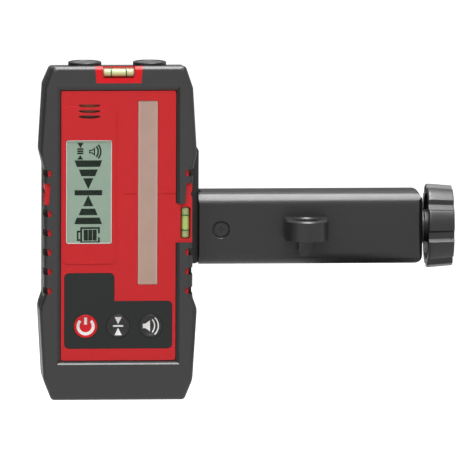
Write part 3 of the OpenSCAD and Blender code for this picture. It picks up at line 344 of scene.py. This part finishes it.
def rubberFinish():
    # rubber, matt and with painted shade on the upper half of the bevel below the panel
    material = moulded("blackRubber", tone(38, 38, 38), 0.4, 1900.0, 3.0e-5, 0.1, 0.45)
    place = placeIn(material)
    half, below, deep = seamShadeSet["half"], seamShadeSet["below"], seamShadeSet["lip"]
    across = apartFrom(place, 0, middleOf("top_vial").x * mm) < (half + deep) * mm
    height = along(place, 2)
    lip = across * (height < (below + seamShadeSet["over"]) * mm) * (height > (below - deep) * mm)
    place.paint({
        # the dark colour on the bevel is painted shade
        "Base Color": blended(place, lip, place.painted("Base Color"), tone(16, 16, 16)),
        "Roughness": place.painted("Roughness") + lip * seamShadeSet["matt"],
    })
    return material


# circuit board: solder mask with paler copper runs under it
boardSet = {"scale": 160.0, "run": 0.012, "shade": 0.85, "copper": 2.2, "smear": 300.0}


def boardFinish(name, color):
    material, place = begin(name)
    runs = place.make("ShaderNodeTexBrick", {}, {
        "Vector": place, "Scale": boardSet["scale"], "Mortar Size": boardSet["run"],
        "Color1": color, "Color2": shaded(color, boardSet["shade"]),
        "Mortar": shaded(color, boardSet["copper"]),
    })
    smear = noise(place, boardSet["smear"])
    place.paint({"Base Color": runs, "Roughness": wander(0.35, smear, 0.15)})
    return material


# buzzer: a brown disc that darkens away from a spot above its middle, in mm
buzzerSet = {"up": 2.5, "from": 1.5, "to": 6.0, "smear": 400.0}


def buzzerFinish():
    material, place = begin("buzzerDisc")
    low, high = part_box("buzzer")
    centre = (low + high) / 2
    spot = (centre.x, low.y, centre.z + buzzerSet["up"] * mm)
    away = place.make("ShaderNodeVectorMath", {"operation": "DISTANCE"}, {0: place, 1: spot}, 1)
    ring = ramp(away, buzzerSet["from"] * mm, buzzerSet["to"] * mm)
    place.paint({
        "Base Color": blended(place, ring, tone(150, 100, 62), tone(30, 18, 14)),
        "Roughness": wander(0.4, noise(place, buzzerSet["smear"]), 0.2),
    })
    return material


# one finish for each slot; moulded ones give colour, roughness, grain scale, bump depth in metres,
# mottle and shine
finishes = {
    "red_shell": shellFinish(),
    "black_rubber": rubberFinish(),
    "dark_shell": moulded("darkShell", tone(50, 50, 51), 0.5, 1700.0, 4.0e-5, 0.1, 0.4),
    "seal_rubber": moulded("sealRubber", tone(34, 34, 35), 0.62, 1500.0, 3.0e-5, 0.15, 0.3),
    "clamp_plastic": moulded("clampPlastic", tone(38, 38, 38), 0.36, 1600.0, 3.0e-5, 0.08, 0.38),
    "knob_plastic": moulded("knobPlastic", tone(34, 34, 35), 0.34, 1600.0, 3.0e-5, 0.08, 0.4),
    "inner_plastic": moulded("innerPlastic", tone(34, 34, 36), 0.5, 1200.0, 2.0e-5),
    "keypad_field": moulded("keypadField", tone(40, 43, 42), 0.5, 1500.0, 1.5e-5, 0.06, 0.15),
    "key_red": moulded("keyRed", tone(212, 24, 36), 0.34, 1300.0, 1.5e-5, 0.05, 0.25),
    "key_black": moulded("keyBlack", tone(34, 34, 35), 0.36, 1300.0, 1.5e-5, 0.08, 0.3),
    "switch_body": moulded("switchBody", tone(190, 190, 184), 0.45, 900.0, 2.0e-5),
    "bearing_plastic": moulded("bearingPlastic", tone(222, 220, 208), 0.42, 900.0, 2.0e-5, 0.04),
    "diode_package": moulded("diodePackage", tone(20, 20, 24), 0.2, 800.0, 1.0e-5),
    "cell_wrap": moulded("cellWrap", tone(58, 70, 86), 0.28, 700.0, 1.0e-5, 0.06),
    "magnet_cup": moulded("magnetCup", tone(28, 27, 28), 0.36, 1500.0, 2.0e-5, 0.12, 0.35),
    "guide_metal": moulded("guideMetal", tone(58, 58, 61), 0.4, 1500.0, 2.0e-5),
    "dark_screw": moulded("darkScrew", tone(42, 42, 44), 0.34, 1500.0, 2.0e-5, 0.12, 0.35),
    "detection_window": sensorFinish(),
    "lcd_glass": lcdFinish(),
    "display_window": windowFinish(),
    "vial_clear": tubeFinish("vialClear", "top_vial", 0, tone(232, 236, 192)),
    "vial_fluid": fluidFinish("vialFluid", "top_vial_fluid", 0,
                              tone(216, 226, 166), tone(228, 234, 184)),
    "circuit_board": boardFinish("circuitBoard", tone(24, 88, 48)),
    "steel": metal("steel", tone(200, 200, 203), 0.3, (1, 1, 6)),
    "contact_spring": metal("contactSpring", tone(192, 188, 178), 0.34, (5, 1, 1)),
    "magnet": metal("magnet", tone(104, 104, 108), 0.4),
    "brass": metal("brass", tone(206, 168, 92), 0.3, (1, 5, 5)),
}
# pieces whose look differs from their slot's
special = {
    "buzzer": buzzerFinish(),
    "side_vial": tubeFinish("sideVialClear", "side_vial", 2, tone(176, 182, 146)),
    "side_vial_fluid": fluidFinish("sideVialFluid", "side_vial_fluid", 2,
                                   tone(196, 224, 110), tone(180, 194, 142)),
}
inkDark = moulded("inkDark", tone(30, 42, 34), 0.6, 900.0, 5.0e-6, 0.06, 0.05)
inkWhite = moulded("inkWhite", tone(236, 234, 232), 0.4, 900.0, 5.0e-6, 0.03, 0.2)
lineGreen = moulded("lineGreen", tone(40, 92, 50), 0.35, 900.0, 5.0e-6, 0.08, 0.2)
print("materials:", len(bpy.data.materials))


def finishOf(node):
    return special.get(node, finishes[slotOf[node]])


def only(piece):
    bpy.ops.object.select_all(action="DESELECT")
    piece.select_set(True)
    bpy.context.view_layer.objects.active = piece


def openMesh():
    bpy.ops.object.mode_set(mode="EDIT")
    bpy.ops.mesh.select_all(action="SELECT")


def closeMesh():
    bpy.ops.object.mode_set(mode="OBJECT")


def pickWhere(piece, test):
    # edit mode, with only the points that pass the test selected
    bpy.ops.object.mode_set(mode="EDIT")
    bpy.ops.mesh.select_all(action="DESELECT")
    closeMesh()
    for vertex in piece.data.vertices:
        vertex.select = test(vertex.co)
    bpy.ops.object.mode_set(mode="EDIT")


def placed():
    # the active object's place goes into its mesh
    bpy.ops.object.transform_apply(location=True, rotation=True, scale=True)


def applied(piece, kind, settings):
    modifier = piece.modifiers.new(kind.lower(), kind)
    for name, value in settings.items():
        setattr(modifier, name, value)
    only(piece)
    bpy.ops.object.modifier_apply(modifier=modifier.name)


def joined(pieces):
    only(pieces[0])
    for piece in pieces[1:]:
        piece.select_set(True)
    bpy.ops.object.join()
    return pieces[0]


def coated(piece, material):
    piece.data.materials.clear()
    piece.data.materials.append(material)


def dressed(piece, material, body):
    coated(piece, material)
    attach(piece, body)
    return piece


# the case's top rises towards the front: points above each height turn about the joint line
topSet = {"heights": (57.0, 58.5, 60.0, 61.5), "turn": 2.0,
          "seated": ("top_vial", "top_vial_fluid"), "seat": 1.1}


def raiseFront(piece):
    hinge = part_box("front_bumper")[1]
    for height in topSet["heights"]:
        pickWhere(piece, lambda p: p.z > height * mm)
        bpy.ops.transform.rotate(value=math.radians(topSet["turn"]), orient_axis="X",
                                 center_override=(0, hinge.y, hinge.z))
        closeMesh()


def movedOpening(piece):
    # the display opening's top and bottom edges, in the case, the window and the glass step alike
    low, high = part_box("lcd_lens")
    reach = windowSet["reach"] * mm
    left, right = low.x - reach, high.x + reach
    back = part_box("lcd_panel")[0].y - windowSet["behind"] * mm
    for edge, shift in ((high.z, windowSet["topUp"]), (low.z, windowSet["lowUp"])):
        pickWhere(piece, lambda p: abs(p.z - edge) < reach and left < p.x < right and p.y < back)
        bpy.ops.transform.translate(value=(0, 0, shift * mm))
        closeMesh()


# sound slots, straightened by raising their middles
slotSet = {"x": -14.75, "z": 41.7, "half": 5.4, "tall": 5.0, "rise": 0.4}


def straightSlots(piece):
    x, z = (middleOf("top_vial").x + slotSet["x"]) * mm, slotSet["z"] * mm
    half, tall, back = slotSet["half"] * mm, slotSet["tall"] * mm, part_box("buzzer")[0].y
    for vertex in piece.data.vertices:
        p = vertex.co
        if abs(p.x - x) < half and abs(p.z - z) < tall and p.y < back:
            p.z += slotSet["rise"] * mm * (1 - ((p.x - x) / half) ** 2)


def caseFront(piece):
    raiseFront(piece)
    movedOpening(piece)
    straightSlots(piece)


# the glass steps up into its opening, close behind a thin window
stackSet = {"window": 0.5, "air": 0.1, "step": 0.95}
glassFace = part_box("lcd_lens")[0].y + (stackSet["window"] + stackSet["air"]) * mm


def thinWindow(piece):
    low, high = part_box("lcd_lens")
    pickWhere(piece, lambda p: p.y > (low.y + high.y) / 2)
    bpy.ops.transform.translate(value=(0, low.y + stackSet["window"] * mm - high.y, 0))
    closeMesh()
    movedOpening(piece)


def steppedGlass(piece):
    low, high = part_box("lcd_panel")
    pickWhere(piece, lambda p: p.y < (low.y + high.y) / 2)
    bpy.ops.mesh.inset(thickness=stackSet["step"] * mm)
    bpy.ops.mesh.extrude_region_move(TRANSFORM_OT_translate={"value": (0, glassFace - low.y, 0)})
    closeMesh()
    movedOpening(piece)


# cup rim chamfered and screw recess rounded (width, segments), more than the arm's other edges
rimSet = {
    "cup": (0.7, 1), "recess": (0.5, 4), "sharp": 40,
    "face": -24.0, "proud": 0.3, "skin": 0.05,  # the arm's front face, and where rims begin
    "cupReach": 24.0, "recessReach": 6.0,
}


def armRims(piece):
    cup, screw = middleOf("round_vial") * mm, middleOf("bearing_screw") * mm
    cupFace = (rimSet["face"] - rimSet["proud"]) * mm
    recessFace = (rimSet["face"] + rimSet["skin"]) * mm
    cupReach, reach = rimSet["cupReach"] * mm, rimSet["recessReach"] * mm

    def onCup(p):
        return p.y < cupFace and p.z > cup.z and abs(p.x - cup.x) < cupReach

    def onRecess(p):
        return p.y < recessFace and abs(p.x - screw.x) < reach and abs(p.z - screw.z) < reach

    for (width, segments), inside in ((rimSet["cup"], onCup), (rimSet["recess"], onRecess)):
        pickWhere(piece, lambda p: not inside(p))
        bpy.ops.mesh.hide(unselected=False)
        bpy.ops.mesh.select_mode(type="EDGE")
        bpy.ops.mesh.edges_select_sharp(sharpness=math.radians(rimSet["sharp"]))
        bpy.ops.mesh.bevel(offset=width * mm, segments=segments, affect="EDGES")
        bpy.ops.mesh.select_mode(type="VERT")
        bpy.ops.mesh.reveal(select=False)
        closeMesh()


shapedNodes = {"front_bumper": raiseFront, "front_case": caseFront, "lcd_lens": thinWindow,
               "lcd_panel": steppedGlass, "clamp_arm": armRims}

# eased copies of the CAD pieces: edge width in mm and segments
easedNodes = {
    "front_bumper": (0, 0), "front_case": (0.2, 2), "rear_case": (0.4, 3), "battery_door": (0.3, 2),
    "clamp_arm": (0, 0), "sliding_jaw": (0.4, 3), "clamp_knob": (0.35, 3), "knob_cap": (0.3, 3),
    "captive_knob": (0.3, 2), "guide_plate": (0.25, 2), "sensor_window": (0.2, 2),
    "lcd_lens": (0.12, 2), "lcd_panel": (0.1, 2), "keypad_plate": (0.12, 2),
    "power_key": (0.25, 3), "band_key": (0.25, 3), "volume_key": (0.25, 3),
    "magnet_cups": (0.4, 3), "magnet_discs": (0.2, 2),
    "fixed_jaw_pad": (0.3, 3), "sliding_jaw_pad": (0.3, 3),
    "bearing_screw": (0.12, 2), "guide_screws": (0.12, 2), "case_screws": (0.12, 2),
    "thrust_washer": (0.2, 2), "spindle_clip": (0.2, 2), "captive_washer": (0.15, 2),
    "end_bearing": (0.2, 2), "jaw_nut": (0.25, 2), "top_vial": (0.1, 2),
    "top_vial_fluid": (0, 0), "side_vial_fluid": (0, 0), "round_vial_fluid": (0, 0),
}
easeSet = {
    "merge": 3e-6, "flat": 0.3,  # points this close in metres, faces this flat in degrees
    "angle": 32, "smooth": 35, "weight": 80,
    "fluidIn": 0.06,  # fluids are drawn in a hair from their clear tubes
    "free": ("clamp_knob",),  # eased without holding back where edges meet
}


def softCopy(node, width, segments):
    # merged copy of a CAD node, shaped and eased, that stands for it
    piece = nodes[node].copy()
    piece.data = nodes[node].data.copy()
    piece.parent = None
    del piece["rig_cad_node"]
    words = node.split("_")
    piece.name = words[0] + "".join(word.capitalize() for word in words[1:])
    bpy.context.scene.collection.objects.link(piece)
    only(piece)
    bpy.ops.mesh.customdata_custom_splitnormals_clear()
    openMesh()
    bpy.ops.mesh.remove_doubles(threshold=easeSet["merge"])
    bpy.ops.mesh.dissolve_limited(angle_limit=math.radians(easeSet["flat"]))
    if node.endswith("_fluid"):
        bpy.ops.mesh.normals_make_consistent(inside=False)
        bpy.ops.transform.shrink_fatten(value=-easeSet["fluidIn"] * mm)
    if node in topSet["seated"]:
        bpy.ops.transform.translate(value=(0, 0, topSet["seat"] * mm))
    closeMesh()
    if node in shapedNodes:
        shapedNodes[node](piece)
    if width:
        applied(piece, "BEVEL", {
            "width": width * mm, "segments": segments, "limit_method": "ANGLE",
            "angle_limit": math.radians(easeSet["angle"]),
            "use_clamp_overlap": node not in easeSet["free"],
        })
    only(piece)
    bpy.ops.object.shade_smooth_by_angle(angle=math.radians(easeSet["smooth"]))
    applied(piece, "WEIGHTED_NORMAL", {"keep_sharp": True, "weight": easeSet["weight"]})
    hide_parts(node)
    return dressed(piece, finishOf(node), bodyOf[node])


eased = {node: softCopy(node, *edge) for node, edge in easedNodes.items()}
for node, piece in nodes.items():
    if node not in easedNodes:
        coated(piece, finishOf(node))
print("eased copies:", len(eased))


def drawnPath(points, y=0.0):
    # a vertex extruded from point to point, in X and Z, left in edit mode
    first = points[0]
    bpy.ops.object.select_all(action="DESELECT")
    bpy.ops.mesh.primitive_plane_add(size=mm, location=(first[0] * mm, y * mm, first[1] * mm))
    placed()
    openMesh()
    bpy.ops.mesh.merge(type="CENTER")
    for before, after in zip(points, points[1:]):
        step = ((after[0] - before[0]) * mm, 0, (after[1] - before[1]) * mm)
        bpy.ops.mesh.extrude_vertices_move(TRANSFORM_OT_translate={"value": step})
    return bpy.context.object


def outline(points, y):
    plate = drawnPath(points, y)
    bpy.ops.mesh.select_all(action="SELECT")
    bpy.ops.mesh.edge_face_add()
    closeMesh()
    return plate


def bar(x0, x1, z0, z1):
    return [(x0, z0), (x1, z0), (x1, z1), (x0, z1)]


def wedge(x, topWidth, lowWidth, top, low):
    # four corners, or three where one width is nothing
    halfTop, halfLow = topWidth / 2, lowWidth / 2
    lower = [(x - halfLow, low), (x + halfLow, low)] if lowWidth else [(x, low)]
    upper = [(x + halfTop, top), (x - halfTop, top)] if topWidth else [(x, top)]
    return lower + upper


def arc(x, z, radius, turns):
    return [(x + radius * math.cos(turn), z + radius * math.sin(turn)) for turn in turns]


def band(x, z, radius, width, start, end, steps=14):
    # part of a ring, its angles measured from +X towards +Z
    turns = [math.radians(start + (end - start) * i / steps) for i in range(steps + 1)]
    return arc(x, z, radius + width / 2, turns) + arc(x, z, radius - width / 2, turns[::-1])


def moved(shapes, x, z, stretch=1.0):
    return [[(px + x, pz * stretch + z) for px, pz in shape] for shape in shapes]


def printed(name, shapes, y, thick, wrapTo=None):
    # flat print: outlines joined, laid on a dished face where one is given, thickened towards -Y
    piece = joined([outline(points, y) for points in shapes])
    piece.name = name
    if wrapTo:
        openMesh()
        bpy.ops.mesh.quads_convert_to_tris()
        bpy.ops.mesh.subdivide(number_cuts=3)
        closeMesh()
        applied(piece, "SHRINKWRAP", {
            "target": wrapTo, "wrap_method": "PROJECT", "use_project_y": True,
            "use_positive_direction": True, "use_negative_direction": True,
        })
    only(piece)
    openMesh()
    bpy.ops.mesh.extrude_region_move(TRANSFORM_OT_translate={"value": (0, -thick * mm, 0)})
    bpy.ops.mesh.select_all(action="SELECT")
    bpy.ops.mesh.normals_make_consistent(inside=False)
    closeMesh()
    return piece


# display segments, printed on the liquid crystal glass; x from the receiver's middle
display = {
    "x": middleOf("top_vial").x - 0.3, "up": 0.7, "stretch": 1.012,
    "face": glassFace / mm, "thick": 0.04,
    "grade": [  # band mark's arrows, upper wedges, line, lower wedges, band mark's lines
        wedge(-19.0, 3.2, 0, 25.1, 22.5), wedge(-19.1, 0, 3.1, 19.0, 16.7),
        wedge(-15.0, 14.0, 11.6, 16.3, 13.0), wedge(-15.0, 9.6, 6.9, 11.7, 8.3),
        wedge(-15.0, 5.3, 0, 7.35, 1.8), bar(-21.9, -7.9, -1.3, 1.3),
        wedge(-15.0, 0, 5.3, -1.2, -6.8), wedge(-15.0, 6.9, 9.6, -8.0, -11.3),
        wedge(-15.0, 11.6, 14.0, -12.5, -15.8),
        bar(-20.6, -17.5, 21.58, 22.42), bar(-20.6, -17.5, 20.48, 21.32),
        bar(-20.6, -17.5, 19.38, 20.22),
    ],
    "sound": [  # speaker drawn as a line round its form, its back, two waves
        [(-14.6, 19.75), (-13.1, 19.75), (-11.6, 18.4), (-11.6, 22.9), (-13.1, 21.6),
         (-14.6, 21.6), (-14.6, 21.25), (-14.0, 21.0), (-12.95, 21.0), (-12.2, 21.6),
         (-12.2, 19.7), (-12.95, 20.35), (-14.0, 20.35), (-14.6, 20.1)],
        bar(-14.6, -14.0, 19.95, 21.4),
        band(-14.16, 20.65, 4.13, 0.85, -40, 40), band(-13.75, 20.65, 5.03, 0.85, -43, 43),
    ],
    "battery": [  # case, its terminal, three charge bars
        bar(-19.0, -9.1, -18.25, -17.3), bar(-19.0, -9.1, -25.45, -24.5),
        bar(-19.0, -18.05, -24.55, -18.2), bar(-10.0, -9.1, -20.5, -18.2),
        bar(-10.0, -9.1, -24.55, -22.5),
        bar(-20.7, -19.0, -19.95, -19.1), bar(-20.7, -19.0, -24.2, -23.35),
        bar(-20.7, -19.9, -23.4, -19.9),
        bar(-17.3, -15.1, -24.1, -18.6), bar(-14.9, -12.9, -24.1, -18.6),
        bar(-12.7, -10.7, -24.1, -18.6),
    ],
}
segments = moved(display["grade"] + display["sound"] + display["battery"],
                 display["x"], display["up"], display["stretch"])
displayPrint = printed("displaySegments", segments, display["face"], display["thick"])
dressed(displayPrint, inkDark, "receiver")
print("display segments:", len(segments))


# symbols, laid on the dished keys; points from each key's middle
symbols = {
    "y": -46.0, "thick": 0.05,
    "power": [band(0, 0, 3.85, 1.5, 134, 406, 40), bar(-0.72, 0.72, 0.8, 4.5)],
    "band": [wedge(0, 3.7, 0, 4.7, 1.0), bar(-2.6, 2.6, -0.4, 0.4), wedge(0, 0, 3.7, -1.0, -4.6)],
    "volume": [
        [(-4.0, -1.15), (-2.7, -1.15), (-0.3, -2.8), (-0.3, 2.8), (-2.7, 1.15), (-4.0, 1.15)],
        band(-3.1, 0, 5.1, 0.62, -40, 40), band(-1.8, 0, 5.7, 0.62, -48, 48, 18),
    ],
}
for name in ("power", "band", "volume"):
    key = name + "_key"
    shapes = moved(symbols[name], middleOf(key).x, middleOf("power_key").z)
    symbol = printed(name + "Symbol", shapes, symbols["y"], symbols["thick"], eased[key])
    dressed(symbol, inkWhite, bodyOf[key])
print("key symbols: 3")


# level lines round the tube vials
rings = {"radius": 2.43, "width": 0.55, "thick": 0.05, "sides": 48}


def levelRing(name, place, turn):
    bpy.ops.object.select_all(action="DESELECT")
    bpy.ops.mesh.primitive_cylinder_add(
        vertices=rings["sides"], radius=rings["radius"] * mm, depth=rings["width"] * mm,
        end_fill_type="NOTHING", location=place * mm, rotation=turn)
    ring = bpy.context.object
    ring.name = name
    placed()
    applied(ring, "SOLIDIFY", {"thickness": rings["thick"] * mm, "offset": 1.0})
    bpy.ops.object.shade_smooth_by_angle(angle=math.radians(easeSet["smooth"]))
    return dressed(ring, lineGreen, "receiver")


topVial = middleOf("top_vial") + Vector((0, 0, topSet["seat"]))
sideVial = middleOf("side_vial")
for side, across, tall in ((-1, "Left", "Low"), (1, "Right", "High")):
    shift = side * vialSet["apart"]
    levelRing("topLine" + across, topVial + Vector((shift, 0, 0)), (0, math.pi / 2, 0))
    levelRing("sideLine" + tall, sideVial + Vector((0, 0, shift)), (0, 0, 0))
print("level lines: 4")


# spindle with its two-start left-hand thread; x along the spindle and radii, in mm
thread = {
    "root": 4.3, "crest": 4.98, "lead": 4.0, "starts": 2, "turns": 20, "from": 13.4,
    "tooth": (0.5, 0.8, 1.5, 1.8),  # where the flanks of a tooth begin and end
    "journal": 3.5, "bevel": 0.2, "shoulder": 12.3, "relief": 0.3,  # the end in its bearing
    "collar": 5.0, "groove": 4.4, "land": (1.5, 1.3), "play": 0.05,  # the collar round the clip
    "steps": 28, "merge": 1e-6, "smooth": 30,
}


def turnedFrom(name, points, settings):
    # profile in X and radius, turned about the spindle's axis
    piece = drawnPath(points)
    piece.name = name
    closeMesh()
    applied(piece, "SCREW", dict(axis="X", angle=2 * math.pi, steps=thread["steps"],
                                 render_steps=thread["steps"], use_merge_vertices=True,
                                 merge_threshold=thread["merge"], **settings))
    axis = middleOf("spindle") * mm
    piece.location = (0, axis.y, axis.z)
    placed()
    openMesh()
    bpy.ops.mesh.remove_doubles(threshold=thread["merge"])
    bpy.ops.mesh.fill_holes(sides=0)  # the coil's two ends
    bpy.ops.mesh.normals_make_consistent(inside=False)
    closeMesh()
    bpy.ops.object.shade_smooth_by_angle(angle=math.radians(thread["smooth"]))
    return piece


root, crest, lead, collar = (thread[name] for name in ("root", "crest", "lead", "collar"))
journal, bevel, shoulder = thread["journal"], thread["bevel"], thread["shoulder"]
tip, tail = (corner.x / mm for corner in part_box("spindle"))
clipLow, clipHigh = (corner.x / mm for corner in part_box("spindle_clip"))
clipLow, clipHigh = clipLow - thread["play"], clipHigh + thread["play"]
stem = [
    (tip, 0), (tip, journal - bevel), (tip + bevel, journal), (shoulder, journal),
    (shoulder, root - thread["relief"]), (shoulder + thread["relief"], root),
    (clipLow - thread["land"][0], root), (clipLow - thread["land"][1], collar), (clipLow, collar),
    (clipLow, thread["groove"]), (clipHigh, thread["groove"]), (clipHigh, collar),
    (tail, collar), (tail, 0),
]
tooth = tuple(zip((0.0,) + thread["tooth"], (root, root, crest, crest, root)))
ridge = [(thread["from"] + lead / thread["starts"] * count + x, radius)
         for count in range(thread["starts"]) for x, radius in tooth]
ridge.append((thread["from"] + lead, root))
core = turnedFrom("threadedSpindle", stem, {"screw_offset": 0.0})
coil = turnedFrom("coil", ridge, {"screw_offset": -lead * mm, "iterations": thread["turns"]})
coil.location.x = lead * mm * thread["turns"]
only(coil)
placed()
joined([core, coil])
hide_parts("spindle")
dressed(core, finishes["steel"], "clamp_knob")
print("spindle thread turned")


white = (1, 1, 1, 1)


def seenRays(tree):
    # rays for which the surroundings show as plain white
    path = tree.nodes.new("ShaderNodeLightPath")
    kinds = ("Is Camera Ray", "Is Glossy Ray", "Is Transmission Ray")
    camera, glossy, through = (Wire(tree, path.outputs[kind]) for kind in kinds)
    return camera + glossy + through


def stageFinish(name, lift, pale):
    # pale diffuse floor that reads white to the camera and keeps the shadow
    material, place = begin(name)
    tree = material.node_tree
    tree.nodes.remove(tree.nodes["Principled BSDF"])
    sockets = {"Color": white, "Strength": seenRays(tree) * lift}
    glow = place.make("ShaderNodeEmission", {}, sockets)
    low, high = ((pale + side * floorSet["mottle"],) * 3 + (1,) for side in (-1, 1))
    cloud = blended(place, noise(place, floorSet["cloud"]), low, high)
    dull = place.make("ShaderNodeBsdfDiffuse", {}, {"Color": cloud})
    both = place.make("ShaderNodeAddShader", {}, {0: glow, 1: dull})
    tree.links.new(both.socket, tree.nodes["Material Output"].inputs["Surface"])
    return material


floorSet = {"size": 12.0, "z": -0.26, "lift": 0.85, "pale": 0.6, "mottle": 0.02, "cloud": 3.0}
paleFloor = stageFinish("paleFloor", floorSet["lift"], floorSet["pale"])
bpy.ops.object.select_all(action="DESELECT")
bpy.ops.mesh.primitive_plane_add(size=floorSet["size"], location=(0, 0, floorSet["z"]))
floor = bpy.context.object
floor.name = "floor"
floor.data.materials.append(paleFloor)

# dark cards seen only in gloss, so that flat tops and left flanks don't mirror the white round them
# and the arm's outer end darkens below
cards = {
    "backCard": {"place": (0, 1.6, 0.1), "size": (3.4, 0.8), "turn": (math.pi / 2, 0, 0)},
    "leftCard": {"place": (-1.0, 0.0, -0.02), "size": (0.9, 1.4), "turn": (0, math.pi / 2, 0)},
    "lowCard": {"place": (0.081, -0.12, -0.1), "size": (0.056, 0.44), "turn": (0, 0, 0)},
}
darkCloth = moulded("darkCloth", tone(24, 24, 24), 0.9, 300.0, 1.0e-4, 0.1, 0.0)
for name, settings in cards.items():
    bpy.ops.object.select_all(action="DESELECT")
    bpy.ops.mesh.primitive_plane_add(size=1.0, location=settings["place"],
                                     rotation=settings["turn"])
    card = bpy.context.object
    card.name = name
    card.scale = settings["size"] + (1,)
    card.data.materials.append(darkCloth)
    card.visible_camera = card.visible_diffuse = False
    card.visible_transmission = card.visible_shadow = False

level = {"seen": 1.0, "fill": 0.36}
world = bpy.data.worlds.new("studio")
bpy.context.scene.world = world
world.use_nodes = True
tree = world.node_tree
shine = seenRays(tree) * (level["seen"] - level["fill"]) + level["fill"]
tree.nodes["Background"].inputs["Color"].default_value = white
tree.links.new(shine.socket, tree.nodes["Background"].inputs["Strength"])


def facing(direction):
    return direction.to_track_quat("-Z", "Y").to_euler()


lamps = {
    "mainBox": {"place": (-0.3, -1.0, 1.3), "size": (1.4, 1.4), "power": 24, "aim": (0, 0, 0)},
    "glossStrip": {"place": (0.1, -0.2, 1.12), "size": (0.5, 1.5), "power": 44, "aim": (0.1, 0, 0)},
    "backBox": {"place": (0.5, 1.3, 0.9), "size": (1.0, 0.8), "power": 7, "aim": (0, 0, -0.02)},
}
for name, lamp in lamps.items():
    bpy.ops.object.light_add(type="AREA", location=lamp["place"])
    light = bpy.context.object
    light.name = name
    light.data.shape = "RECTANGLE"
    light.data.size, light.data.size_y = lamp["size"]
    light.data.energy = lamp["power"]
    light.visible_glossy = name != "backBox"  # lights the back and stays out of the gloss
    light.visible_diffuse = name != "glossStrip"  # drawn only as a gleam along the rounded edges
    light.rotation_euler = facing(Vector(lamp["aim"]) - Vector(lamp["place"]))

shot = {
    "target": (0.00728, -0.0226, -0.0227), "azimuth": -4.0, "elevation": 7.6, "roll": 0.25,
    "distance": 5.0, "lens": 762.0, "sensor": 36.0, "far": 50.0,
}
turn, lift = math.radians(shot["azimuth"]), math.radians(shot["elevation"])
away = Vector((math.sin(turn) * math.cos(lift), -math.cos(turn) * math.cos(lift), math.sin(lift)))
away *= shot["distance"]
bpy.ops.object.camera_add(location=Vector(shot["target"]) + away)
camera = bpy.context.object
camera.rotation_euler = facing(-away)
camera.rotation_euler.rotate_axis("Z", math.radians(shot["roll"]))
camera.data.lens = shot["lens"]
camera.data.sensor_width = shot["sensor"]
camera.data.clip_end = shot["far"]
bpy.context.scene.camera = camera
bpy.context.scene.view_settings.view_transform = "Standard"
print("stage set")
